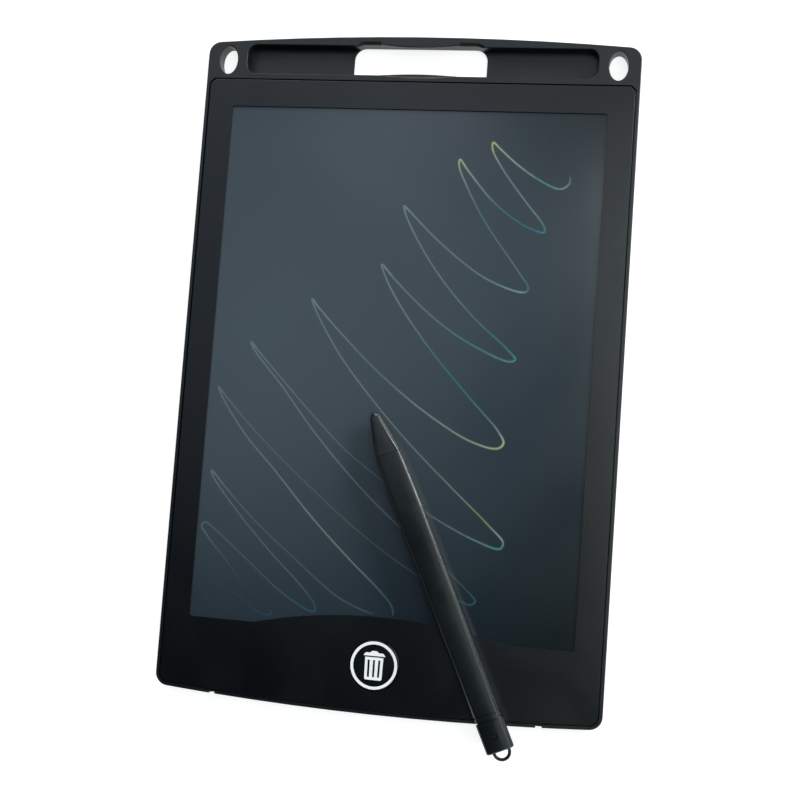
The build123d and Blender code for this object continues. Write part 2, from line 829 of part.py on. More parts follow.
clip_y = board_bottom_y + clip_width / 2
clip_radius = cell_radius + contact_thickness
clip_end_x = board_left + contact_pad_length
with BuildPart() as battery_positive_clip:
    with BuildSketch(Plane.XY.offset(board_front_z - clip_drop)):
        with Locations((cell_x, cell_y)):
            Circle(clip_radius)
            Circle(cell_radius, mode=Mode.SUBTRACT)
        with Locations((cell_x + cell_radius, clip_y)):
            Rectangle(cell_diameter, clip_width, mode=Mode.INTERSECT)
    extrude(amount=clip_drop)
    with BuildSketch(Plane.XY.offset(board_front_z)):
        with Locations(((cell_x + clip_end_x) / 2, clip_y)):
            Rectangle(clip_end_x - cell_x, clip_width)
        with Locations((cell_x, cell_y)):
            Circle(cell_radius, mode=Mode.SUBTRACT)
    extrude(amount=contact_thickness)
battery_positive_clip.part.label = "battery_positive_clip"

# Battery door, which tips on two tabs, and its captive screw
with BuildPart() as battery_door:
    with BuildSketch(Plane.XY.offset(door_recess)):
        add(door_outline(0))
    extrude(amount=door_thickness)
    tab_under_z = back_wall + door_tab_gap
    with BuildSketch(Plane.XY.offset(door_face_z)):
        with Locations((door_left + door_tab_root / 2, cell_y)):
            with GridLocations(door_width, door_tab_spread, 1, 2):
                Rectangle(door_tab_root, door_tab_width)
    extrude(amount=tab_under_z + door_tab_thickness - door_face_z)
    with BuildSketch(Plane.XY.offset(tab_under_z)):
        with Locations((door_left - door_tab_reach / 2 + door_tab_root / 2, cell_y)):
            with GridLocations(door_width, door_tab_spread, 1, 2):
                Rectangle(door_tab_root + door_tab_reach, door_tab_width)
    extrude(amount=door_tab_thickness)
    with BuildSketch(Plane.XY.offset(door_face_z)):
        with Locations((door_boss_x, cell_y)):
            Circle(door_pad_radius)
    extrude(amount=door_pad_height)
    with BuildSketch(Plane.XY.offset(door_recess)):
        with Locations((door_boss_x, cell_y)):
            Circle(door_screw_radius + board_screw_fit)
    extrude(amount=door_thickness + door_pad_height, mode=Mode.SUBTRACT)
    with BuildSketch(Plane.XY.offset(door_recess)):
        with Locations((door_boss_x, cell_y)):
            Circle(door_screw_head_radius + board_screw_fit)
    extrude(amount=door_screw_head_inset + door_screw_head_height, mode=Mode.SUBTRACT)
    with BuildSketch(Plane.XY.offset(door_recess)):
        with Locations((cell_x, cell_y)):
            with GridLocations(door_grip_pitch, door_grip_width, door_grip_count, 1):
                SlotOverall(door_grip_width, door_grip_groove, rotation=90)
    extrude(amount=door_grip_depth, mode=Mode.SUBTRACT)
battery_door.part.label = "battery_door"

with BuildPart() as battery_door_screw:
    head_back_z = door_recess + door_screw_head_inset
    head_front_z = head_back_z + door_screw_head_height
    with BuildSketch(Plane.XY.offset(head_back_z)):
        with Locations((door_boss_x, cell_y)):
            Circle(door_screw_head_radius)
    extrude(amount=door_screw_head_height)
    with BuildSketch(Plane.XY.offset(head_front_z)):
        with Locations((door_boss_x, cell_y)):
            Circle(door_screw_radius)
    extrude(amount=door_boss_z - door_screw_tip_gap - head_front_z)
    with BuildSketch(Plane.XY.offset(head_back_z)):
        with Locations((door_boss_x, cell_y)):
            Rectangle(screw_slot_length, screw_slot_width)
            Rectangle(screw_slot_width, screw_slot_length)
    extrude(amount=screw_slot_depth, mode=Mode.SUBTRACT)
battery_door_screw.part.label = "battery_door_screw"

# Erase button, pushed up by the snap switch under it
plunger_top_z = board_front_z + switch_height + switch_cover_thickness + plunger_height - plunger_sink
flange_top_z = bezel_back_z - button_play
with BuildPart() as erase_button:
    with BuildSketch(Plane.XY.offset(flange_top_z)):
        with Locations((0, button_y)):
            Circle(button_radius)
    extrude(amount=front_z - flange_top_z)
    fillet(erase_button.faces().sort_by(Axis.Z)[-1].edges(), button_edge_radius)
    with BuildSketch(Plane.XY.offset(flange_top_z)):
        with Locations((0, button_y)):
            Circle(flange_radius)
    extrude(amount=-button_flange_height)
    with BuildSketch(Plane.XY.offset(front_z - button_top_wall)):
        with Locations((0, button_y)):
            Circle(button_radius - button_skirt_wall)
    extrude(amount=flange_top_z - button_flange_height - front_z, mode=Mode.SUBTRACT)
    with BuildSketch(Plane.XY.offset(plunger_top_z + touch_gap)):
        with Locations((0, button_y)):
            Circle(button_post_radius)
    extrude(amount=front_z - button_top_wall - plunger_top_z - touch_gap)
erase_button.part.label = "erase_button"

with BuildPart() as erase_switch_body:
    with BuildSketch(Plane.XY.offset(board_front_z)):
        with Locations((0, button_y)):
            RectangleRounded(switch_size, switch_size, switch_corner_radius)
            Circle(plunger_radius + plunger_fit, mode=Mode.SUBTRACT)
    extrude(amount=switch_height)
erase_switch_body.part.label = "erase_switch_body"

with BuildPart() as erase_switch_cover:
    with BuildSketch(Plane.XY.offset(board_front_z + switch_height)):
        with Locations((0, button_y)):
            RectangleRounded(switch_size, switch_size, switch_corner_radius)
            Circle(plunger_radius + plunger_fit, mode=Mode.SUBTRACT)
    extrude(amount=switch_cover_thickness)
erase_switch_cover.part.label = "erase_switch_cover"

with BuildPart() as erase_switch_plunger:
    with BuildSketch(Plane.XY.offset(plunger_top_z)):
        with Locations((0, button_y)):
            Circle(plunger_radius)
    extrude(amount=-plunger_height)
erase_switch_plunger.part.label = "erase_switch_plunger"

# Lock switch on the board, its lever, and the knob that pushes the lever from the back
with BuildPart() as lock_switch_body:
    with BuildSketch(Plane.XY.offset(board_front_z)):
        with Locations((lock_x, lock_body_y)):
            Rectangle(lock_body_length, lock_body_width)
    extrude(amount=lock_body_height)
    with BuildSketch(Plane.XY.offset(lock_lever_z - lock_lever_thickness / 2 - lock_lever_play / 2)):
        with Locations((lock_x, board_bottom_y + lock_window_depth / 2)):
            Rectangle(lock_lever_width + lock_travel + 2 * lock_lever_play, lock_window_depth)
    extrude(amount=lock_lever_thickness + lock_lever_play, mode=Mode.SUBTRACT)
lock_switch_body.part.label = "lock_switch_body"

lever_end_y = board_bottom_y - lock_lever_reach
with BuildPart() as lock_switch_lever:
    with BuildSketch(Plane.XY.offset(lock_lever_z - lock_lever_thickness / 2)):
        with Locations((lock_rest_x, lever_end_y + lock_lever_length / 2)):
            Rectangle(lock_lever_width, lock_lever_length)
    extrude(amount=lock_lever_thickness)
lock_switch_lever.part.label = "lock_switch_lever"

with BuildPart() as lock_knob:
    with BuildSketch(Plane.XY.offset(knob_flange_z)):
        with Locations((lock_rest_x, knob_y)):
            Rectangle(knob_flange_length, knob_flange_width)
    extrude(amount=knob_flange_height)
    with BuildSketch(Plane.XY.offset(knob_recess)):
        with Locations((lock_rest_x, knob_y)):
            Rectangle(knob_neck_length, knob_neck_width)
    extrude(amount=knob_flange_z - knob_recess)
    fork_spread = lock_lever_width + 2 * knob_fork_play + knob_fork_wall
    fork_y = lever_end_y + knob_fork_depth / 2
    with BuildSketch(Plane.XY.offset(knob_flange_z + knob_flange_height)):
        with Locations((lock_rest_x, fork_y)):
            with GridLocations(fork_spread, knob_fork_depth, 2, 1):
                Rectangle(knob_fork_wall, knob_fork_depth)
    extrude(amount=lock_lever_z + lock_lever_thickness / 2 - knob_flange_z - knob_flange_height)
    with BuildSketch(Plane.XY.offset(knob_recess)):
        with Locations((lock_rest_x, knob_y)):
            with GridLocations(knob_grip_pitch, knob_neck_width, knob_grip_count, 1):
                Rectangle(knob_grip_width, knob_neck_width)
    extrude(amount=knob_grip_depth, mode=Mode.SUBTRACT)
lock_knob.part.label = "lock_knob"

# The stylus lies with its swell on the film and its barrel over the edge of the window
swell_run = nib_length + barrel_swell_length
window_edge_run = (stylus_tip_y - window_bottom_y - arch_rise) / cos(radians(stylus_turn))
barrel_taper = (1 - barrel_end_share) * barrel_height / 2 / (nib_length + barrel_length - swell_run)
stylus_step = front_z - film_top_z - (window_edge_run - swell_run) * barrel_taper
stylus_tilt = degrees(asin(stylus_step / (window_edge_run - swell_run)))
stylus_across = Vector(cos(radians(stylus_turn)), sin(radians(stylus_turn)), 0)
stylus_along = Vector(
    sin(radians(stylus_turn)) * cos(radians(stylus_tilt)),
    -cos(radians(stylus_turn)) * cos(radians(stylus_tilt)),
    sin(radians(stylus_tilt)),
)
stylus_start = Vector(
    stylus_tip_x,
    stylus_tip_y,
    film_top_z + stylus_rest_gap + barrel_height / 2 - swell_run * sin(radians(stylus_tilt)),
)
nib_seam = nib_length
barrel_end = nib_seam + barrel_length
ring_start = barrel_end + seam_groove_length
ring_end = ring_start + ring_length
sleeve_start = ring_end + seam_groove_length
sleeve_end = sleeve_start + sleeve_length


def stylus_plane(run):
    """The plane square to the stylus, run along it from the tip, with its Y up."""
    return Plane(origin=stylus_start + stylus_along * run, x_dir=stylus_across, z_dir=stylus_along)


def stylus_section(width, height, ridge_radius, top_share, edge_share):
    """The stylus cut across: broad crowned top with a narrow slope on either side, sides that lean in below."""
    half_top = width * top_share / 2
    half_wide = width / 2
    half_high = height / 2
    share = width / barrel_width
    edge_z = half_high * edge_share
    top_z = half_high - barrel_crown * share
    with BuildSketch() as section:
        with BuildLine():
            Line((-half_top, -half_high), (half_top, -half_high))
            Line((half_top, -half_high), (half_wide, edge_z))
            Line((half_wide, edge_z), (half_top, top_z))
            ThreePointArc((half_top, top_z), (0, half_high), (-half_top, top_z))
            Line((-half_top, top_z), (-half_wide, edge_z))
            Line((-half_wide, edge_z), (-half_top, -half_high))
        make_face()
        corners = section.vertices().group_by(Axis.Y)
        fillet(corners[1], barrel_side_radius * share)
        fillet(section.vertices().group_by(Axis.Y)[-1], ridge_radius * share)
        fillet(section.vertices().group_by(Axis.Y)[0], barrel_ridge_radius * share)
    return section.sketch


def barrel_section(width, height, ridge_radius):
    """The section of the barrel and of the sleeve behind it."""
    return stylus_section(width, height, ridge_radius, barrel_top_share, barrel_edge_share)


with BuildPart() as stylus_nib:
    for run, share, top_share, edge_share in (
        (nib_neck_length, nib_neck_share, neck_top_share, neck_edge_share),
        (nib_waist_length, nib_waist_share, waist_top_share, waist_edge_share),
        (nib_seam, nib_seam_share, barrel_top_share, barrel_edge_share),
    ):
        with BuildSketch(stylus_plane(run)):
            width = barrel_width * share
            height = barrel_height * share
            add(stylus_section(width, height, barrel_ridge_radius, top_share, edge_share))
    loft()
    with BuildSketch(stylus_plane(0)):
        Circle(nib_tip_radius)
    extrude(amount=nib_neck_length + nib_tip_radius)
    fillet(stylus_nib.edges().group_by(Axis(stylus_start, stylus_along))[0], nib_tip_radius * nib_round_share)
    with BuildSketch(stylus_plane(nib_seam)):
        Circle(barrel_bore_radius - spigot_fit)
    extrude(amount=spigot_length)
stylus_nib.part.label = "stylus_nib"

with BuildPart() as stylus_barrel:
    for run, share in (
        (nib_seam + nib_seam_groove, nib_seam_share),
        (nib_seam + barrel_swell_length / 2, barrel_rise_share),
        (swell_run, 1),
    ):
        with BuildSketch(stylus_plane(run)):
            add(barrel_section(barrel_width * share, barrel_height * share, barrel_ridge_radius))
    loft()
    for run, share, radius in (
        (swell_run, 1, barrel_ridge_radius),
        (barrel_end, barrel_end_share, tail_ridge_radius),
    ):
        with BuildSketch(stylus_plane(run)):
            add(barrel_section(barrel_width * share, barrel_height * share, radius))
    loft()
    with BuildSketch(stylus_plane(nib_seam)):
        Circle(barrel_bore_radius)
    extrude(amount=barrel_length + cut_overrun, mode=Mode.SUBTRACT)
stylus_barrel.part.label = "stylus_barrel"

with BuildPart() as stylus_end_sleeve:
    with BuildSketch(stylus_plane(ring_start)):
        add(barrel_section(barrel_width * barrel_end_share, barrel_height * barrel_end_share, tail_ridge_radius))
    extrude(amount=ring_length)
    with BuildSketch(stylus_plane(sleeve_start)):
        add(barrel_section(sleeve_width, sleeve_height, tail_ridge_radius))
    extrude(amount=sleeve_length)
    chamfer(
        stylus_end_sleeve.faces().sort_by(Axis(stylus_start, stylus_along))[-1].edges(),
        sleeve_end_chamfer,
    )
    with BuildSketch(stylus_plane(barrel_end)):
        core_width = sleeve_width - 2 * seam_groove_depth
        core_height = sleeve_height - 2 * seam_groove_depth
        add(barrel_section(core_width, core_height, tail_ridge_radius))
    extrude(amount=sleeve_start - barrel_end)
    with BuildSketch(stylus_plane(barrel_end)):
        Circle(barrel_bore_radius - spigot_fit)
    extrude(amount=-spigot_length)
    with BuildSketch(stylus_plane(sleeve_end)):
        Rectangle(plug_width + 2 * plug_clearance, plug_height + 2 * plug_clearance)
    extrude(amount=-plug_length - plug_inset - plug_clearance, mode=Mode.SUBTRACT)
    hole_plane = Plane(
        origin=stylus_start + stylus_along * (sleeve_end - sleeve_hole_inset),
        x_dir=stylus_along,
        z_dir=stylus_plane(0).y_dir,
    )
    with BuildSketch(hole_plane):
        Circle(sleeve_hole_radius)
    extrude(amount=sleeve_height, mode=Mode.SUBTRACT)
stylus_end_sleeve.part.label = "stylus_end_sleeve"

plug_end = sleeve_end - plug_inset
with BuildPart() as stylus_loop_plug:
    with BuildSketch(stylus_plane(plug_end)):
        Rectangle(plug_width, plug_height)
    extrude(amount=-plug_length)
    with BuildSketch(hole_plane):
        Circle(plug_nub_radius)
    extrude(amount=sleeve_height / 2 - plug_nub_drop)
    loop_radius = plug_width / 2 - loop_wire_radius
    loop_plane = Plane(
        origin=stylus_start + stylus_along * plug_end,
        x_dir=stylus_across,
        z_dir=stylus_plane(0).y_dir * -1,
    )
    with BuildLine(loop_plane) as loop_path:
        Line((-loop_radius, 0), (-loop_radius, loop_leg))
        ThreePointArc((-loop_radius, loop_leg), (0, loop_leg + loop_radius), (loop_radius, loop_leg))
        Line((loop_radius, loop_leg), (loop_radius, 0))
    with BuildSketch(Plane(origin=loop_path.line @ 0, z_dir=loop_path.line % 0)):
        Circle(loop_wire_radius)
    sweep(path=loop_path.line)
stylus_loop_plug.part.label = "stylus_loop_plug"

pieces = [
    rear_shell,
    front_bezel,
    window_tape_frame,
    film_front_sheet,
    liquid_crystal_layer,
    film_rear_sheet,
    black_backing_sheet,
    support_foam,
    circuit_board,
    board_screws,
    controller_blob,
    boost_inductor,
    chip_capacitors,
    chip_resistors,
    film_connector_tails,
    coin_cell,
    battery_negative_contact,
    battery_positive_clip,
    battery_door,
    battery_door_screw,
    erase_button,
    erase_switch_body,
    erase_switch_cover,
    erase_switch_plunger,
    lock_switch_body,
    lock_switch_lever,
    lock_knob,
    stylus_nib,
    stylus_barrel,
    stylus_end_sleeve,
    stylus_loop_plug,
]
os.makedirs("parts", exist_ok=True)
for piece in pieces:
    export_step(piece.part, f"parts/{piece.part.label}.step")
    print(piece.part.label, "solids", len(piece.part.solids()), "volume", round(piece.part.volume, 2))
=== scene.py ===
import json

import bpy
import numpy as np
from mathutils import Euler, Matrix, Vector


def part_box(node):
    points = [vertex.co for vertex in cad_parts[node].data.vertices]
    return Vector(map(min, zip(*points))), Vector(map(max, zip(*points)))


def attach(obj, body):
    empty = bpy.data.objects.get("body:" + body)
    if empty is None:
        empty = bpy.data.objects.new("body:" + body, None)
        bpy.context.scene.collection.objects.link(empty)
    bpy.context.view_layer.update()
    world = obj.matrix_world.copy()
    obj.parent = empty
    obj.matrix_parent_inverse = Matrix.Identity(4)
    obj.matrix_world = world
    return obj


# Looks of a hand-held LCD writing tablet and its stylus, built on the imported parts.
# The scene is in metres: +X to the tablet's right, +Y to its handle, +Z out of its screen.
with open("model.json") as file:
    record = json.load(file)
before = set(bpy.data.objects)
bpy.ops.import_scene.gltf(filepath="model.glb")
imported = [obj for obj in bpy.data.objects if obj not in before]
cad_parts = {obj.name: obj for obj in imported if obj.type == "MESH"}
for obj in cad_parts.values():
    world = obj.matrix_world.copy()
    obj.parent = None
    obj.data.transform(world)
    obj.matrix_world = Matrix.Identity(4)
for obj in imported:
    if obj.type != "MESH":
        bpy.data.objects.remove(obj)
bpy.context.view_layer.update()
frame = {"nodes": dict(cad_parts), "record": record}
nodes = frame["nodes"]
mm = 0.001
print("frame loaded:", len(nodes), "nodes")


# The camera stands nearly over the tablet, right of its middle and towards its foot
cameraView = {
    "place": (58.21, -34.53, 366.68),  # mm
    "turn": (4.457, 8.536, 4.232),  # degrees about X, Y and Z
    "focal": 1114.6,  # pixels of the 800 pixel frame
    "framePixels": 800,
    "sensor": 36.0,  # mm
    "nearest": 10.0,  # mm, nearer things are left out
}
cameraTurn = Euler(np.radians(cameraView["turn"]).tolist(), "XYZ").to_matrix()

camera = bpy.data.objects.new("camera", bpy.data.cameras.new("camera"))
camera.data.sensor_width = cameraView["sensor"]
camera.data.lens = cameraView["focal"] / cameraView["framePixels"] * cameraView["sensor"]
camera.data.clip_start = cameraView["nearest"] * mm
camera.matrix_world = cameraTurn.to_4x4()
camera.location = Vector(cameraView["place"]) * mm
bpy.context.scene.collection.objects.link(camera)
bpy.context.scene.camera = camera
print("camera set")


# Where the sight lines through picture points meet a level plane: eye + ray * (height - eye z) / ray z
def onPlane(pixels, height):
    half = cameraView["framePixels"] / 2
    depth = np.full(len(pixels), -cameraView["focal"])
    rays = np.column_stack((pixels[:, 0] - half, half - pixels[:, 1], depth)) @ np.array(cameraTurn).T
    eye = np.array(cameraView["place"]) * mm
    return eye + rays * ((height - eye[2]) / rays[:, 2])[:, None]


# sRGB hex to the linear values that Blender works in
def linear(hexText):
    parts = np.array([int(hexText[i : i + 2], 16) for i in (0, 2, 4)]) / 255
    return np.where(parts <= 0.04045, parts / 12.92, ((parts + 0.055) / 1.055) ** 2.4)


def colour(hexText):
    return (*linear(hexText), 1.0)


# Adds one node: inputs are values or other nodes' outputs, stops are a ramp's places and colours
def addNode(material, kind, inputs=None, stops=None, **options):
    made = material.node_tree.nodes.new(kind)
    for name, value in options.items():
        setattr(made, name, value)
    for socket, value in (inputs or {}).items():
        if isinstance(value, bpy.types.NodeSocket):
            material.node_tree.links.new(value, made.inputs[socket])
        else:
            made.inputs[socket].default_value = value
    if stops:
        ramp = made.color_ramp.elements
        ramp[0].position, ramp[0].color = stops[0]
        ramp[-1].position, ramp[-1].color = stops[-1]
        for place, shade in stops[1:-1]:
            ramp.new(place).color = shade
    return made


def startMaterial(name):
    material = bpy.data.materials.new(name)
    material.use_nodes = True
    material.node_tree.nodes.clear()
    shader = addNode(material, "ShaderNodeBsdfPrincipled")
    addNode(material, "ShaderNodeOutputMaterial", {"Surface": shader.outputs["BSDF"]})
    return material, shader


# Colour, roughness and relief go into the shader
def linkFinish(material, shader, tone, gloss, bump):
    links = material.node_tree.links
    links.new(tone, shader.inputs["Base Color"])
    links.new(gloss.outputs["Result"], shader.inputs["Roughness"])
    links.new(bump.outputs["Normal"], shader.inputs["Normal"])


# Moulded plastic: spark-eroded grain as bump, a slow mottling of the tone, and shinier handled patches
def mouldedPlastic(settings):
    material, shader = startMaterial(settings["name"])
    place = addNode(material, "ShaderNodeTexCoord").outputs["Object"]
    grain = addNode(
        material, "ShaderNodeTexNoise",
        {"Vector": place, "Scale": 1 / (settings["grain"] * mm), "Detail": 3.0, "Roughness": 0.6},
    )
    mottle = addNode(
        material, "ShaderNodeTexNoise",
        {"Vector": place, "Scale": 1 / (settings["mottle"] * mm), "Detail": 4.0, "Distortion": 0.6},
    )
    handled = addNode(
        material, "ShaderNodeTexNoise",
        {"Vector": place, "Scale": 1 / (settings["handled"] * mm), "Detail": 2.0, "Distortion": 1.4},
    )
    tone = addNode(
        material, "ShaderNodeValToRGB", {"Fac": mottle.outputs["Fac"]},
        stops=[(0.3, colour(settings["deep"])), (0.72, colour(settings["pale"]))],
    )
    fleckShare = addNode(
        material, "ShaderNodeMapRange",
        {"Value": grain.outputs["Fac"], "From Min": 0.55, "From Max": 0.85, "To Max": settings["fleckShare"]},
    )
    fleck = addNode(
        material, "ShaderNodeMix",
        {0: fleckShare.outputs["Result"], 6: tone.outputs["Color"], 7: colour(settings["fleck"])},
        data_type="RGBA",
    )
    gloss = addNode(
        material, "ShaderNodeMapRange",
        {"Value": handled.outputs["Fac"], "From Min": 0.35, "From Max": 0.68,
         "To Min": settings["rough"][1], "To Max": settings["rough"][0]},
    )
    bump = addNode(
        material, "ShaderNodeBump",
        {"Height": grain.outputs["Fac"], "Distance": settings["depth"] * mm, "Strength": 1.0},
    )
    linkFinish(material, shader, fleck.outputs[2], gloss, bump)
    shader.inputs["IOR"].default_value = settings["ior"]
    shader.inputs["Coat Weight"].default_value = settings.get("coat", 0.0)
    shader.inputs["Coat Roughness"].default_value = settings.get("coatRough", 0.2)
    return material


# Metal sheet or wire: rolling marks run one way, and a dull haze lies over the bright metal in patches
def rolledMetal(settings):
    material, shader = startMaterial(settings["name"])
    place = addNode(material, "ShaderNodeTexCoord").outputs["Object"]
    lengthened = addNode(material, "ShaderNodeMapping", {"Vector": place, "Scale": settings["stretch"]})
    marks = addNode(
        material, "ShaderNodeTexNoise",
        {"Vector": lengthened.outputs["Vector"], "Scale": 1 / (settings["marks"] * mm), "Detail": 4.0},
    )
    haze = addNode(
        material, "ShaderNodeTexNoise",
        {"Vector": place, "Scale": 1 / (settings["haze"] * mm), "Detail": 3.0},
    )
    tone = addNode(
        material, "ShaderNodeValToRGB", {"Fac": haze.outputs["Fac"]},
        stops=[(0.35, colour(settings["bright"])), (0.7, colour(settings["dull"]))],
    )
    gloss = addNode(
        material, "ShaderNodeMapRange",
        {"Value": marks.outputs["Fac"], "From Min": 0.3, "From Max": 0.7,
         "To Min": settings["rough"][0], "To Max": settings["rough"][1]},
    )
    bump = addNode(
        material, "ShaderNodeBump",
        {"Height": marks.outputs["Fac"], "Distance": settings["depth"] * mm, "Strength": 1.0},
    )
    linkFinish(material, shader, tone.outputs["Color"], gloss, bump)
    shader.inputs["Metallic"].default_value = 1.0
    return material


# Sheet, laminate or fired body: cells or grit in two tones, with a soft relief
def grittyBody(settings):
    material, shader = startMaterial(settings["name"])
    place = addNode(material, "ShaderNodeTexCoord").outputs["Object"]
    cells = addNode(
        material, "ShaderNodeTexVoronoi", {"Vector": place, "Scale": 1 / (settings["cell"] * mm)},
    )
    drift = addNode(
        material, "ShaderNodeTexNoise",
        {"Vector": place, "Scale": 1 / (settings["drift"] * mm), "Detail": 3.0},
    )
    blend = addNode(
        material, "ShaderNodeMath",
        {0: cells.outputs["Distance"], 1: drift.outputs["Fac"]}, operation="MULTIPLY",
    )
    tone = addNode(
        material, "ShaderNodeValToRGB", {"Fac": blend.outputs["Value"]},
        stops=[(0.05, colour(settings["deep"])), (0.45, colour(settings["pale"]))],
    )
    gloss = addNode(
        material, "ShaderNodeMapRange",
        {"Value": drift.outputs["Fac"], "From Min": 0.3, "From Max": 0.7,
         "To Min": settings["rough"][0], "To Max": settings["rough"][1]},
    )
    bump = addNode(
        material, "ShaderNodeBump",
        {"Height": cells.outputs["Distance"], "Distance": settings["depth"] * mm, "Strength": 1.0},
    )
    linkFinish(material, shader, tone.outputs["Color"], gloss, bump)
    shader.inputs["IOR"].default_value = settings["ior"]
    shader.inputs["Coat Weight"].default_value = settings.get("coat", 0.0)
    shader.inputs["Coat Roughness"].default_value = settings.get("coatRough", 0.15)
    return material


# In every finish grain, mottle, handled, marks, haze, cell, drift and depth are sizes in mm, and rough is
# the range that the roughness wanders over.
# Black ABS from a spark-eroded mould: an even satin black that greys softly where it catches the light
housingFinish = {
    "name": "spark_eroded_black_abs",
    "deep": "02060a", "pale": "060b0e", "fleck": "12181b", "fleckShare": 0.35,
    "grain": 0.55,  # about twice the real grit, so that it shows
    "depth": 0.012, "mottle": 16.0, "handled": 42.0,
    "rough": (0.34, 0.42), "ior": 1.53,
}
# The same ABS from a finer mould: flatter and a little smoother
bezelFinish = dict(
    housingFinish, name="fine_textured_black_abs", grain=0.45, depth=0.008, mottle=22.0, rough=(0.27, 0.33),
    deep="010307", pale="030609",
)
# Polished black ABS under the printed ring: deeper, with a clearer shine
buttonFinish = dict(
    housingFinish, name="polished_black_abs", grain=0.5, depth=0.004, mottle=9.0, handled=14.0,
    rough=(0.26, 0.32), deep="010306", pale="030508", fleckShare=0.1,
)
# Knob from the same ABS: small and matt
knobFinish = dict(housingFinish, name="moulded_black_abs_knob", grain=0.4, handled=6.0, rough=(0.42, 0.55))
# Satin black ABS of the stylus: dark grey along the facets, and a bright line on each ridge
stylusFinish = dict(
    housingFinish, name="satin_black_abs_stylus", grain=0.5, depth=0.006, mottle=12.0, handled=20.0,
    rough=(0.24, 0.32), deep="0c1213", pale="101718", fleck="1c2425", fleckShare=0.3,
)
# Acetal plug and loop: slightly greyer and waxy
loopFinish = dict(
    housingFinish, name="black_acetal_loop", grain=0.6, depth=0.004, rough=(0.30, 0.42), ior=1.48,
    deep="0c0d0e", pale="141516",
)
# Glass-filled nylon of the switches: matt dark grey with paler flecks
switchPlasticFinish = dict(
    housingFinish, name="black_nylon_switch", grain=0.3, depth=0.01, mottle=3.0, handled=5.0,
    rough=(0.45, 0.6), deep="101112", pale="1b1c1d", fleck="2c2d2e",
)
# Drop of epoxy over the chip: smooth, tight, nearly black
epoxyFinish = dict(
    housingFinish, name="cured_black_epoxy", grain=0.9, depth=0.02, mottle=2.0, handled=4.0,
    rough=(0.16, 0.3), deep="08080a", pale="101013", coat=0.4, coatRough=0.08,
)
# Printed polyester tail: brown-amber film with darker specks
tailFinish = dict(
    housingFinish, name="printed_polyester_tail", grain=0.4, depth=0.003, mottle=2.0, handled=6.0,
    rough=(0.2, 0.32), deep="5a3a12", pale="7b531d", fleck="2b2119", fleckShare=0.7, ior=1.57,
)
# Polyester behind the crystal: a pale grey, glossy sheet
rearFilmFinish = dict(
    housingFinish, name="polyester_rear_film", grain=0.8, depth=0.002, mottle=25.0, rough=(0.12, 0.22),
    deep="6c757a", pale="7d868b", fleck="8d9599", ior=1.57,
)
# Foam-free acrylic tape: dull black, slightly rubbery
tapeFinish = dict(
    housingFinish, name="black_acrylic_tape", grain=0.7, depth=0.004, mottle=8.0, rough=(0.45, 0.6),
    deep="08090a", pale="0e0f10",
)
# Liquid crystal between the sheets: a deep sea green where light reaches it
crystalFinish = dict(
    housingFinish, name="liquid_crystal_in_polymer", grain=1.2, depth=0.001, mottle=20.0, rough=(0.2, 0.35),
    deep="1e4a3d", pale="2a5c4c", fleck="3c7a63", ior=1.56,
)
# Uncoated black paper: soaks up light, with a faint grain
blackSheetFinish = dict(
    housingFinish, name="matte_black_paper", grain=0.35, depth=0.02, mottle=9.0, rough=(0.7, 0.85),
    deep="050505", pale="0a0a0a", fleck="161616",
)
# Nickel-plated can: a soft silver with marks along one way and dull patches
cellFinish = {
    "name": "nickel_plated_steel_can", "bright": "c9c8c4", "dull": "aaa8a3", "stretch": (1.0, 12.0, 1.0),
    "marks": 0.9, "haze": 6.0, "depth": 0.002, "rough": (0.22, 0.36),
}
# Tinned bronze spring strip: warmer than the can, with rolling marks the other way
contactFinish = dict(
    cellFinish, name="tin_plated_spring_bronze", bright="c4bda9", dull="a1967d", stretch=(12.0, 1.0, 1.0),
)
# Blackened steel: dark grey with a dull gleam
screwFinish = dict(
    cellFinish, name="blackened_steel_screw", bright="4a4b4e", dull="2f3032", stretch=(1.0, 1.0, 1.0),
    rough=(0.3, 0.45),
)
# Pressed stainless cover: cool grey, with finer marks than the cell
switchSteelFinish = dict(
    cellFinish, name="pressed_stainless_steel", bright="bfc1c2", dull="9c9fa1", marks=0.5,
)
# Glass-epoxy laminate under green solder mask: the glass shows as faint cells
boardFinish = {
    "name": "green_masked_glass_epoxy", "deep": "0c3a20", "pale": "1a5a33", "cell": 1.3, "drift": 4.0,
    "depth": 0.01, "rough": (0.25, 0.4), "ior": 1.55, "coat": 0.5,
}
# Dark grey foam: fine closed cells, quite matt
foamFinish = {
    "name": "closed_cell_polyethylene_foam", "deep": "24262a", "pale": "43464b", "cell": 0.6, "drift": 12.0,
    "depth": 0.12, "rough": (0.8, 0.92), "ior": 1.5,
}
# Ferrite: charcoal grit with a dull face
ferriteFinish = {
    "name": "sintered_ferrite", "deep": "1c1d1f", "pale": "38393c", "cell": 0.25, "drift": 1.5,
    "depth": 0.01, "rough": (0.5, 0.7), "ior": 1.8,
}
# Fired ceramic: tan and grainy
chipFinish = dict(ferriteFinish, name="fired_ceramic_chip", deep="5b4a38", pale="8d7a61", rough=(0.4, 0.55))
print("finishes described")


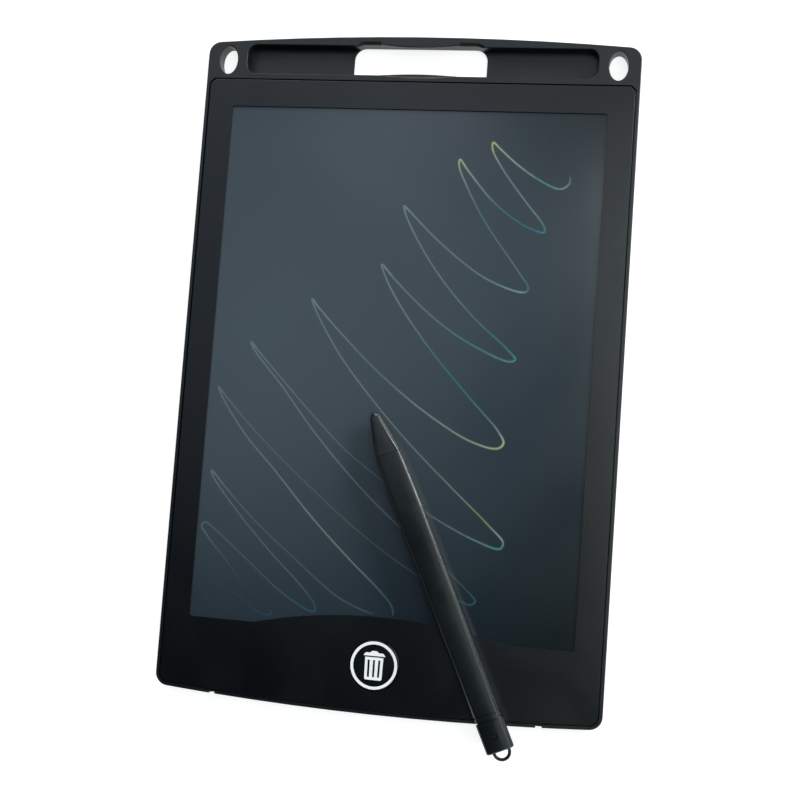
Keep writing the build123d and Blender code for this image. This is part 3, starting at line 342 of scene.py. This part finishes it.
# Writing film: a satin polyester sheet laid over dark liquid crystal. The sheet gives a wide, cool sheen;
# the crystal under it is a blue-grey dark. Its colour is painted lightest left of the middle and darker
# towards
# the far corners: partly the crystal's own haze and partly a painted sheen of the light above.
filmFinish = {
    "name": "satin_polyester_over_liquid_crystal",
    # how far from the lightest place, as a share of the reach, and the shade there: painted haze and sheen
    "shades": [
        (0.0, "3d4850"), (0.38, "353f47"), (0.48, "333e45"), (0.6, "2b363f"), (0.7, "252f37"),
        (0.78, "1a262c"), (0.94, "10181a"),
    ],
    "sheenAndHazeMiddle": (-0.048, 0.007, 0.005), "sheenAndHazeReach": 0.145,  # metres
    "cloudWidth": 60.0, "cloudShare": 0.06, "grain": 0.6, "depth": 0.002,  # mm
    "rough": (0.18, 0.24), "ior": 1.57,
}


def writingFilm(settings):
    material, shader = startMaterial(settings["name"])
    place = addNode(material, "ShaderNodeTexCoord").outputs["Object"]
    away = addNode(
        material, "ShaderNodeVectorMath", {0: place, 1: settings["sheenAndHazeMiddle"]}, operation="DISTANCE",
    )
    offset = addNode(
        material, "ShaderNodeMath", {0: away.outputs["Value"], 1: settings["sheenAndHazeReach"]}, operation="DIVIDE",
    )
    clouds = addNode(
        material, "ShaderNodeTexNoise",
        {"Vector": place, "Scale": 1 / (settings["cloudWidth"] * mm), "Detail": 2.0, "Distortion": 0.8},
    )
    wander = addNode(
        material, "ShaderNodeMapRange",
        {"Value": clouds.outputs["Fac"], "To Min": -settings["cloudShare"], "To Max": settings["cloudShare"]},
    )
    haze = addNode(
        material, "ShaderNodeMath",
        {0: offset.outputs["Value"], 1: wander.outputs["Result"]}, operation="ADD",
    )
    # Painted sheen and haze: the base colour darkens with distance from one place, with a little random
    # wander
    tone = addNode(
        material, "ShaderNodeValToRGB", {"Fac": haze.outputs["Value"]},
        stops=[(share, colour(shade)) for share, shade in settings["shades"]],
    )
    grain = addNode(
        material, "ShaderNodeTexNoise",
        {"Vector": place, "Scale": 1 / (settings["grain"] * mm), "Detail": 2.0},
    )
    gloss = addNode(
        material, "ShaderNodeMapRange",
        {"Value": clouds.outputs["Fac"], "From Min": 0.35, "From Max": 0.65,
         "To Min": settings["rough"][0], "To Max": settings["rough"][1]},
    )
    bump = addNode(
        material, "ShaderNodeBump",
        {"Height": grain.outputs["Fac"], "Distance": settings["depth"] * mm, "Strength": 1.0},
    )
    linkFinish(material, shader, tone.outputs["Color"], gloss, bump)
    shader.inputs["IOR"].default_value = settings["ior"]
    return material


finishFor = {
    "housing": mouldedPlastic(housingFinish),
    "bezel": mouldedPlastic(bezelFinish),
    "button": mouldedPlastic(buttonFinish),
    "knob": mouldedPlastic(knobFinish),
    "stylus_plastic": mouldedPlastic(stylusFinish),
    "loop_plastic": mouldedPlastic(loopFinish),
    "switch_plastic": mouldedPlastic(switchPlasticFinish),
    "epoxy": mouldedPlastic(epoxyFinish),
    "flex_tail": mouldedPlastic(tailFinish),
    "rear_film": mouldedPlastic(rearFilmFinish),
    "adhesive_tape": mouldedPlastic(tapeFinish),
    "liquid_crystal": mouldedPlastic(crystalFinish),
    "black_sheet": mouldedPlastic(blackSheetFinish),
    "writing_film": writingFilm(filmFinish),
    "cell_can": rolledMetal(cellFinish),
    "contact_strip": rolledMetal(contactFinish),
    "screw_steel": rolledMetal(screwFinish),
    "switch_steel": rolledMetal(switchSteelFinish),
    "board_laminate": grittyBody(boardFinish),
    "foam": grittyBody(foamFinish),
    "ferrite": grittyBody(ferriteFinish),
    "chip_ceramic": grittyBody(chipFinish),
}
for part in frame["record"]["subparts"]:
    for materialSlot in nodes[part["node"]].material_slots:
        materialSlot.material = finishFor[part["material_slot"]]
print("finishes given to the packed parts")


# Lines written on the film. Each row is a point of the pen's path: x and y in pixels of the frame, then
# tint (0 blue, 1 teal, 2 pale grey, 3 yellow-green) and how hard the pen pressed (0 to 1). One list is one
# stretch that the pen drew.
writtenLines = {
    "strokes": [
        [
            (570.3, 175.9, 1.5, 0.35), (569.2, 184.0, 1.5, 0.62), (560.5, 189.2, 1.4, 0.80),
            (541.0, 181.1, 1.1, 0.80), (518.0, 165.0, 2.0, 0.72), (500.5, 149.0, 2.7, 0.78),
            (493.4, 142.6, 3.0, 0.95), (492.6, 149.0, 2.8, 0.80), (503.1, 169.6, 2.0, 0.55),
            (526.1, 202.3, 2.0, 0.50), (543.9, 226.4, 1.0, 0.75), (544.2, 232.2, 0.6, 0.90),
            (527.2, 227.3, 0.3, 0.70), (495.1, 203.5, 1.2, 0.62), (468.7, 171.3, 2.3, 0.70),
            (460.0, 159.6, 2.9, 0.95), (459.2, 166.0, 2.5, 0.75), (468.7, 190.3, 1.8, 0.50),
            (485.9, 223.5, 1.2, 0.52), (518.0, 271.2, 1.8, 0.40), (528.3, 288.6, 0.8, 0.72),
            (524.5, 292.4, 1.3, 0.90), (485.9, 278.6, 1.5, 0.60), (440.0, 242.5, 2.0, 0.45),
            (411.0, 212.6, 1.7, 0.62), (404.2, 206.2, 1.4, 0.88), (405.0, 212.0, 1.6, 0.66),
            (417.5, 239.8, 1.8, 0.50), (442.5, 280.0, 1.7, 0.50), (474.9, 318.8, 1.2, 0.55),
            (508.2, 350.3, 1.0, 0.72), (515.2, 359.7, 1.0, 0.95), (509.0, 361.7, 1.1, 0.88),
            (463.8, 340.1, 1.1, 0.68), (430.5, 315.1, 1.5, 0.55), (395.4, 280.0, 1.7, 0.55),
            (382.1, 264.6, 1.5, 0.85), (383.2, 271.0, 1.6, 0.62), (397.2, 300.3, 1.9, 0.55),
            (428.7, 347.5, 1.2, 0.58), (467.5, 395.5, 1.0, 0.62), (498.9, 432.5, 1.8, 0.72),
            (503.4, 443.5, 2.9, 0.98), (497.5, 448.6, 2.9, 0.90), (471.2, 441.8, 2.5, 0.72),
            (425.0, 412.2, 2.1, 0.58), (382.4, 376.1, 1.3, 0.58), (345.5, 338.2, 1.6, 0.52),
            (318.5, 307.0, 1.8, 0.62), (312.4, 299.0, 1.6, 0.85), (314.8, 307.6, 1.6, 0.58),
            (338.1, 352.1, 1.9, 0.45), (371.3, 398.3, 2.0, 0.42), (410.2, 444.5, 2.1, 0.40),
            (450.8, 487.1, 2.5, 0.45), (489.7, 526.8, 2.7, 0.60), (503.0, 543.0, 1.3, 0.90),
            (500.0, 548.9, 1.0, 0.95), (471.2, 538.8, 1.5, 0.60), (430.5, 515.7, 1.9, 0.36),
            (400.0, 495.5, 2.0, 0.28), (374.1, 474.1, 2.0, 0.28), (345.5, 450.1, 2.0, 0.28),
            (304.8, 405.7, 2.0, 0.32), (262.0, 355.0, 1.9, 0.42), (251.2, 342.0, 1.7, 0.66),
            (254.5, 350.0, 1.9, 0.46), (282.0, 386.0, 2.0, 0.40), (314.0, 431.6, 2.0, 0.40),
            (356.6, 483.4, 2.0, 0.40), (397.2, 525.0, 2.0, 0.36), (440.0, 564.0, 1.9, 0.30),
            (466.0, 590.0, 1.0, 0.32), (475.0, 601.5, 0.4, 0.58), (470.0, 605.0, 0.5, 0.52),
            (441.0, 589.0, 1.4, 0.24), (407.4, 568.8, 1.9, 0.22), (356.0, 529.2, 1.9, 0.22),
            (304.7, 481.5, 2.0, 0.20), (258.0, 434.0, 2.0, 0.22), (226.0, 396.0, 1.9, 0.36),
            (218.8, 386.8, 1.6, 0.60), (221.5, 395.0, 1.9, 0.42), (245.0, 434.0, 2.0, 0.38),
            (273.9, 469.1, 2.0, 0.42), (312.0, 517.5, 2.1, 0.50), (348.7, 558.6, 2.1, 0.52),
            (381.0, 592.3, 1.3, 0.50), (391.6, 606.5, 1.1, 0.50), (393.2, 615.8, 1.5, 0.32),
        ],
        [
            (375.0, 614.4, 2.0, 0.10), (366.0, 611.6, 2.0, 0.20), (338.4, 597.4, 1.9, 0.24),
            (291.5, 555.6, 2.0, 0.22), (253.3, 518.9, 2.0, 0.22), (224.0, 485.2, 1.9, 0.36),
            (211.6, 470.2, 1.7, 0.60), (212.8, 475.5, 1.9, 0.46), (238.7, 513.1, 2.0, 0.30),
            (271.0, 552.7, 2.0, 0.28), (300.3, 585.0, 1.8, 0.28), (314.0, 604.0, 0.6, 0.38),
            (314.6, 611.0, 0.2, 0.48), (307.6, 609.9, 0.4, 0.48), (279.8, 590.8, 1.6, 0.26),
            (246.0, 558.6, 2.0, 0.20), (216.7, 530.7, 1.6, 0.32), (205.0, 522.0, 1.2, 0.52),
            (201.8, 525.5, 1.3, 0.50), (206.5, 534.5, 1.6, 0.38), (222.5, 555.6, 2.0, 0.16),
            (243.0, 583.0, 1.5, 0.08),
        ],
        [
            (202.5, 569.0, 0.2, 0.10), (213.7, 580.0, 0.2, 0.14), (232.8, 591.5, 0.3, 0.16),
            (250.0, 606.0, 0.3, 0.20), (263.5, 614.2, 0.1, 0.34), (270.5, 614.0, 0.1, 0.36),
            (272.0, 609.0, 0.2, 0.16),
        ],
        [
            (197.6, 580.0, 0.8, 0.06), (203.5, 592.3, 0.8, 0.12), (213.5, 605.0, 0.7, 0.10),
            (221.0, 611.0, 0.6, 0.05),
        ],
    ],
    "tints": ["2f6b8c", "3c8c82", "9dabaa", "aab783"],
    "halfWidth": (0.28, 0.26),  # mm, and how much hard pressing adds
    "fade": (0.86, 1.15),  # opacity under full pressing, and the power of the pressing it follows
    "across": (-1.0, -0.55, 0.0, 0.55, 1.0), "cover": (0.0, 0.72, 1.0, 0.72, 0.0),
    "steps": 10, "endShare": 0.3,  # points a piece, and how much of its width a stretch keeps at its ends
    "lift": 0.006,  # mm above the film
}


# A smooth line through given rows: cubic pieces, spaced by the root of each chord, whose slopes come
# from the neighbours
def smoothLine(rows, steps):
    knots = np.concatenate(([0], np.cumsum(np.linalg.norm(np.diff(rows[:, :2], axis=0), axis=1) ** 0.5)))
    slopes = np.gradient(rows, knots, axis=0)
    piece = np.repeat(np.arange(len(rows) - 1), steps)
    t = np.tile(np.arange(steps) / steps, len(rows) - 1)
    piece = np.append(piece, len(rows) - 2)
    t = np.append(t, 1.0)[:, None]
    gap = (knots[piece + 1] - knots[piece])[:, None]
    return (
        (2 * t**3 - 3 * t**2 + 1) * rows[piece] + (t**3 - 2 * t**2 + t) * gap * slopes[piece]
        + (3 * t**2 - 2 * t**3) * rows[piece + 1] + (t**3 - t**2) * gap * slopes[piece + 1]
    )


# Quads that join neighbouring points of a grid of rows and columns
def gridQuads(rows, columns):
    index = np.arange(rows * columns).reshape(rows, columns)
    return np.stack((index[:-1, :-1], index[:-1, 1:], index[1:, 1:], index[1:, :-1]), -1).reshape(-1, 4)


def meshPiece(name, points, faces, material, smooth=True):
    mesh = bpy.data.meshes.new(name)
    mesh.from_pydata(points.reshape(-1, 3).tolist(), [], faces.tolist())
    mesh.polygons.foreach_set("use_smooth", np.full(len(mesh.polygons), smooth))
    mesh.materials.append(material)
    mesh.update()
    piece = bpy.data.objects.new(name, mesh)
    bpy.context.scene.collection.objects.link(piece)
    return piece


# Each stretch is a flat ribbon: point = line + side * half width * across, faded out towards its edges
def writeLines(settings, material):
    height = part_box("film_front_sheet")[1].z + settings["lift"] * mm
    tints = np.array([linear(tint) for tint in settings["tints"]])
    across = np.array(settings["across"])
    allPoints, allFaces, allShades = [], [], []
    count = 0
    for stroke in settings["strokes"]:
        line = smoothLine(np.array(stroke), settings["steps"])
        path = onPlane(line[:, :2], height)
        tint = np.clip(line[:, 2], 0, len(tints) - 1)
        press = np.clip(line[:, 3], 0, 1)
        way = np.gradient(path, axis=0)
        side = np.column_stack((way[:, 1], -way[:, 0], np.zeros(len(way))))
        side /= np.linalg.norm(side, axis=1)[:, None]
        half = (settings["halfWidth"][0] + settings["halfWidth"][1] * press) * mm
        half[[0, -1]] *= settings["endShare"]
        points = path[:, None] + side[:, None] * (half[:, None] * across)[..., None]
        shades = np.stack([np.interp(tint, np.arange(len(tints)), tints[:, c]) for c in range(3)], -1)
        cover = settings["fade"][0] * press[:, None] ** settings["fade"][1] * np.array(settings["cover"])
        cover[[0, -1]] = 0
        shades = np.concatenate((np.repeat(shades[:, None], len(across), 1), cover[..., None]), -1)
        allFaces.append(gridQuads(len(path), len(across)) + count)
        allPoints.append(points.reshape(-1, 3))
        allShades.append(shades.reshape(-1, 4))
        count += len(path) * len(across)
    piece = meshPiece("written_lines", np.concatenate(allPoints), np.concatenate(allFaces), material)
    shade = piece.data.color_attributes.new("lineShade", "FLOAT_COLOR", "POINT")
    shade.data.foreach_set("color", np.concatenate(allShades).ravel())
    return piece


# Liquid crystal turned by the pen: it throws back blue to yellow-green light, softly and in patches
lineFinish = {
    "name": "pressed_liquid_crystal", "rough": (0.34, 0.42), "ior": 1.57, "mottle": 2.5, "patchy": (0.8, 1.0),
}


def pressedCrystal(settings):
    material, shader = startMaterial(settings["name"])
    shade = addNode(material, "ShaderNodeAttribute", attribute_name="lineShade")
    place = addNode(material, "ShaderNodeTexCoord").outputs["Object"]
    mottle = addNode(
        material, "ShaderNodeTexNoise",
        {"Vector": place, "Scale": 1 / (settings["mottle"] * mm), "Detail": 3.0},
    )
    patchy = addNode(
        material, "ShaderNodeMapRange",
        {"Value": mottle.outputs["Fac"], "From Min": 0.3, "From Max": 0.7,
         "To Min": settings["patchy"][0], "To Max": settings["patchy"][1]},
    )
    cover = addNode(
        material, "ShaderNodeMath",
        {0: shade.outputs["Alpha"], 1: patchy.outputs["Result"]}, operation="MULTIPLY",
    )
    gloss = addNode(
        material, "ShaderNodeMapRange",
        {"Value": mottle.outputs["Fac"], "To Min": settings["rough"][0], "To Max": settings["rough"][1]},
    )
    links = material.node_tree.links
    links.new(shade.outputs["Color"], shader.inputs["Base Color"])
    links.new(cover.outputs["Value"], shader.inputs["Alpha"])
    links.new(gloss.outputs["Result"], shader.inputs["Roughness"])
    shader.inputs["IOR"].default_value = settings["ior"]
    return material


lines = writeLines(writtenLines, pressedCrystal(lineFinish))
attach(lines, "root")
print("lines written on the film:", len(lines.data.polygons), "faces")


# Pad-printed ink: a hard white, a little uneven, with a soft edge to its shine
inkFinish = {
    "name": "white_pad_print_ink", "white": "ffffff", "thin": "fafbfb", "cell": 0.5, "depth": 0.004,
    "rough": (0.4, 0.55), "ior": 1.5,
}


def padPrintInk(settings):
    material, shader = startMaterial(settings["name"])
    place = addNode(material, "ShaderNodeTexCoord").outputs["Object"]
    spread = addNode(
        material, "ShaderNodeTexNoise",
        {"Vector": place, "Scale": 1 / (settings["cell"] * mm), "Detail": 3.0},
    )
    tone = addNode(
        material, "ShaderNodeValToRGB", {"Fac": spread.outputs["Fac"]},
        stops=[(0.3, colour(settings["thin"])), (0.55, colour(settings["white"]))],
    )
    gloss = addNode(
        material, "ShaderNodeMapRange",
        {"Value": spread.outputs["Fac"], "To Min": settings["rough"][0], "To Max": settings["rough"][1]},
    )
    bump = addNode(
        material, "ShaderNodeBump",
        {"Height": spread.outputs["Fac"], "Distance": settings["depth"] * mm, "Strength": 1.0},
    )
    linkFinish(material, shader, tone.outputs["Color"], gloss, bump)
    shader.inputs["IOR"].default_value = settings["ior"]
    return material


whiteInk = padPrintInk(inkFinish)


# A closed outline with each corner rounded: (1-t)^2 * start + 2t(1-t) * corner + t^2 * end, with start and
# end a radius away from the corner
def roundedOutline(corners, radii, steps=8):
    corners = np.array(corners, float)
    radii = np.broadcast_to(np.array(radii, float), len(corners))[:, None]
    before = np.roll(corners, 1, 0) - corners
    after = np.roll(corners, -1, 0) - corners
    start = corners + before / np.linalg.norm(before, axis=1)[:, None] * radii
    end = corners + after / np.linalg.norm(after, axis=1)[:, None] * radii
    t = np.linspace(0, 1, steps)[:, None, None]
    curve = (1 - t) ** 2 * start + 2 * t * (1 - t) * corners + t**2 * end
    return curve.transpose(1, 0, 2).reshape(-1, 2)


# A circle: radius * (cos, sin) of evenly spaced turns
def circleOutline(radius, steps=96):
    turn = np.linspace(0, 2 * np.pi, steps, endpoint=False)
    return radius * np.column_stack((np.cos(turn), np.sin(turn)))


# Flat outlines in mm, filled by even and odd, given their thickness and set down at a place
def printedMark(name, outlines, place, thickness, material):
    flat = bpy.data.curves.new(name + "_outline", "CURVE")
    flat.dimensions = "2D"
    flat.fill_mode = "BOTH"
    flat.extrude = thickness / 2 * mm
    for outline in outlines:
        spline = flat.splines.new("POLY")
        spline.points.add(len(outline) - 1)
        rows = np.column_stack((outline * mm, np.zeros(len(outline)), np.ones(len(outline))))
        spline.points.foreach_set("co", rows.ravel())
        spline.use_cyclic_u = True
    holder = bpy.data.objects.new(name + "_outline", flat)
    mesh = bpy.data.meshes.new_from_object(holder)
    bpy.data.objects.remove(holder)
    mesh.name = name
    points = np.empty(len(mesh.vertices) * 3)
    mesh.vertices.foreach_get("co", points)
    points = points.reshape(-1, 3) + np.array(place) + np.array((0, 0, thickness / 2 * mm))
    mesh.vertices.foreach_set("co", points.ravel())
    mesh.materials.clear()
    mesh.materials.append(material)
    mesh.update()
    piece = bpy.data.objects.new(name, mesh)
    bpy.context.scene.collection.objects.link(piece)
    return piece


# The ring and the bin on the erase button, in mm from the button's middle
buttonPrint = {
    "ringRadius": 7.7, "ringWidth": 0.94, "thickness": 0.03, "shift": -0.2,
    "lidHalf": 3.65, "lidBottom": 3.05, "shoulder": 1.05, "shoulderIn": 0.75, "shoulderDip": 0.1,
    "knobHalf": 0.9, "knobFoot": 0.55, "knobRise": 1.6,
    "lidRadii": (0.12, 0.12, 0.5, 0.35, 0.4, 0.4, 0.35, 0.5),
    "bodyTop": 2.62, "bodyBottom": -4.65, "bodyHalfTop": 3.0, "bodyHalfBottom": 2.85,
    "bodyRadii": (0.6, 0.6, 0.08, 0.08),
    "slotHalf": 0.34, "slotTop": 1.75, "slotBottom": -3.75, "slotPitch": 1.76, "slotLean": 0.1,
    "slotRadius": 0.2,
}


# Each half outline runs from the foot up to the middle; its mirror image closes it
def binOutlines(sizes):
    lid, lidBottom, shoulder = sizes["lidHalf"], sizes["lidBottom"], sizes["lidBottom"] + sizes["shoulder"]
    lidRight = np.array([
        (lid, lidBottom), (lid - sizes["shoulderIn"], shoulder),
        (sizes["knobHalf"] + sizes["knobFoot"], shoulder - sizes["shoulderDip"]),
        (sizes["knobHalf"], lidBottom + sizes["knobRise"]),
    ])
    bodyRight = np.array([
        (sizes["bodyHalfBottom"], sizes["bodyBottom"]), (sizes["bodyHalfTop"], sizes["bodyTop"]),
    ])
    mirror = np.array((-1, 1))
    outlines = []
    for right, radii in ((lidRight, sizes["lidRadii"]), (bodyRight, sizes["bodyRadii"])):
        left = right * mirror
        outlines.append(roundedOutline(np.vstack((left[:1], right, left[:0:-1])), radii))
    for x in (-sizes["slotPitch"], 0.0, sizes["slotPitch"]):
        foot = x * (1 - sizes["slotLean"] / 2)
        slot = [
            (foot - sizes["slotHalf"], sizes["slotBottom"]), (foot + sizes["slotHalf"], sizes["slotBottom"]),
            (x + sizes["slotHalf"], sizes["slotTop"]), (x - sizes["slotHalf"], sizes["slotTop"]),
        ]
        outlines.append(roundedOutline(slot, sizes["slotRadius"]))
    return outlines


buttonLow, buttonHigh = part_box("erase_button")
buttonMiddle = (buttonLow + buttonHigh) / 2
buttonTop = (buttonMiddle.x + buttonPrint["shift"] * mm, buttonMiddle.y, buttonHigh.z)
ringRadii = (buttonPrint["ringRadius"], buttonPrint["ringRadius"] - buttonPrint["ringWidth"])
ringOutlines = [circleOutline(radius) for radius in ringRadii]
ring = printedMark("printed_ring", ringOutlines, buttonTop, buttonPrint["thickness"], whiteInk)
binMark = printedMark("printed_bin", binOutlines(buttonPrint), buttonTop, buttonPrint["thickness"], whiteInk)
for piece in (ring, binMark):
    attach(piece, "erase_button")
print("ring and bin printed on the button")


# Plain pale paper, bright enough to come out white
floorSettings = {
    "half": 4.0, "colour": "b8b8b8", "rough": 0.9, "sheen": 0.2, "light": "ffffff", "glow": 0.82,
    "drop": 0.05,  # mm under the tablet's back
}
floorMaterial, floorShader = startMaterial("pale_studio_paper")
floorShader.inputs["Base Color"].default_value = colour(floorSettings["colour"])
floorShader.inputs["Roughness"].default_value = floorSettings["rough"]
floorShader.inputs["Specular IOR Level"].default_value = floorSettings["sheen"]
floorShader.inputs["Emission Color"].default_value = colour(floorSettings["light"])
floorShader.inputs["Emission Strength"].default_value = floorSettings["glow"]
corners = np.array([(-1, -1, 0), (1, -1, 0), (1, 1, 0), (-1, 1, 0)]) * floorSettings["half"]
corners = corners - np.array((0, 0, floorSettings["drop"] * mm))
floor = meshPiece("floor", corners, np.array([[0, 1, 2, 3]]), floorMaterial, smooth=False)

# Soft boxes: where each hangs, what it faces, its size in metres, its brightness and its tint
lightSettings = {
    "right_overhead_box": {
        "place": (0.445, 0.09, 1.0), "aim": (0.05, 0, 0), "size": (0.74, 0.66),
        "brightness": 2.6, "tint": "f2ffff",
    },
    "left_overhead_box": {
        "place": (-0.34, 0.38, 1.0), "aim": (-0.05, 0.05, 0), "size": (0.80, 0.80),
        "brightness": 0.55, "tint": "daedff",
    },
    "ridge_box": {
        "place": (1.12, 0.68, 0.50), "aim": (0, 0, 0), "size": (0.42, 0.38),
        "brightness": 20.0, "tint": "ffffff",
    },
    "nib_box": {
        "place": (0.84, 0.98, 0.50), "aim": (0, 0, 0), "size": (0.34, 0.34),
        "brightness": 28.0, "tint": "ffffff",
    },
    "nib_top_box": {
        "place": (-0.17, 0.44, 0.96), "aim": (0, 0, 0), "size": (0.20, 0.20),
        "brightness": 0.9, "tint": "f6faff",
    },
    "back_high_box": {
        "place": (-0.66, 1.22, 0.80), "aim": (0, 0, 0), "size": (0.9, 0.9),
        "brightness": 3.4, "tint": "f6faff",
    },
    "front_high_box": {
        "place": (0.45, -1.10, 0.90), "aim": (0, 0, 0), "size": (0.9, 0.5),
        "brightness": 0.7, "tint": "fffcf8",
    },
    "left_low_box": {
        "place": (-1.5, -0.1, 0.55), "aim": (0, 0, 0), "size": (1.6, 0.8),
        "brightness": 0.3, "tint": "f8fbff",
    },
    "right_low_box": {
        "place": (1.5, -0.2, 0.55), "aim": (0, 0, 0), "size": (1.6, 0.8),
        "brightness": 0.3, "tint": "ffffff",
    },
    "front_low_box": {
        "place": (0.1, -1.6, 0.5), "aim": (0, 0, 0), "size": (1.6, 0.8),
        "brightness": 0.5, "tint": "fffaf4",
    },
    "back_low_box": {
        "place": (0.0, 1.6, 0.5), "aim": (0, 0, 0), "size": (1.6, 0.8),
        "brightness": 1.2, "tint": "fffdfa",
    },
}
for name, settings in lightSettings.items():
    light = bpy.data.lights.new(name, "AREA")
    light.shape = "RECTANGLE"
    light.size, light.size_y = settings["size"]
    light.energy = settings["brightness"] * np.pi * settings["size"][0] * settings["size"][1]
    light.color = linear(settings["tint"])
    holder = bpy.data.objects.new(name, light)
    holder.location = settings["place"]
    sight = Vector(settings["aim"]) - Vector(settings["place"])
    holder.rotation_euler = sight.to_track_quat("-Z", "Y").to_euler()
    bpy.context.scene.collection.objects.link(holder)

# A dim, cool room beyond the soft boxes
roomSettings = {"tint": "8fb4cf", "brightness": 0.025}
world = bpy.data.worlds.new("dim_room")
world.use_nodes = True
roomLight = world.node_tree.nodes["Background"]
roomLight.inputs["Color"].default_value = colour(roomSettings["tint"])
roomLight.inputs["Strength"].default_value = roomSettings["brightness"]
bpy.context.scene.world = world
bpy.context.scene.view_settings.view_transform = "Standard"
print("floor, lights and room set")
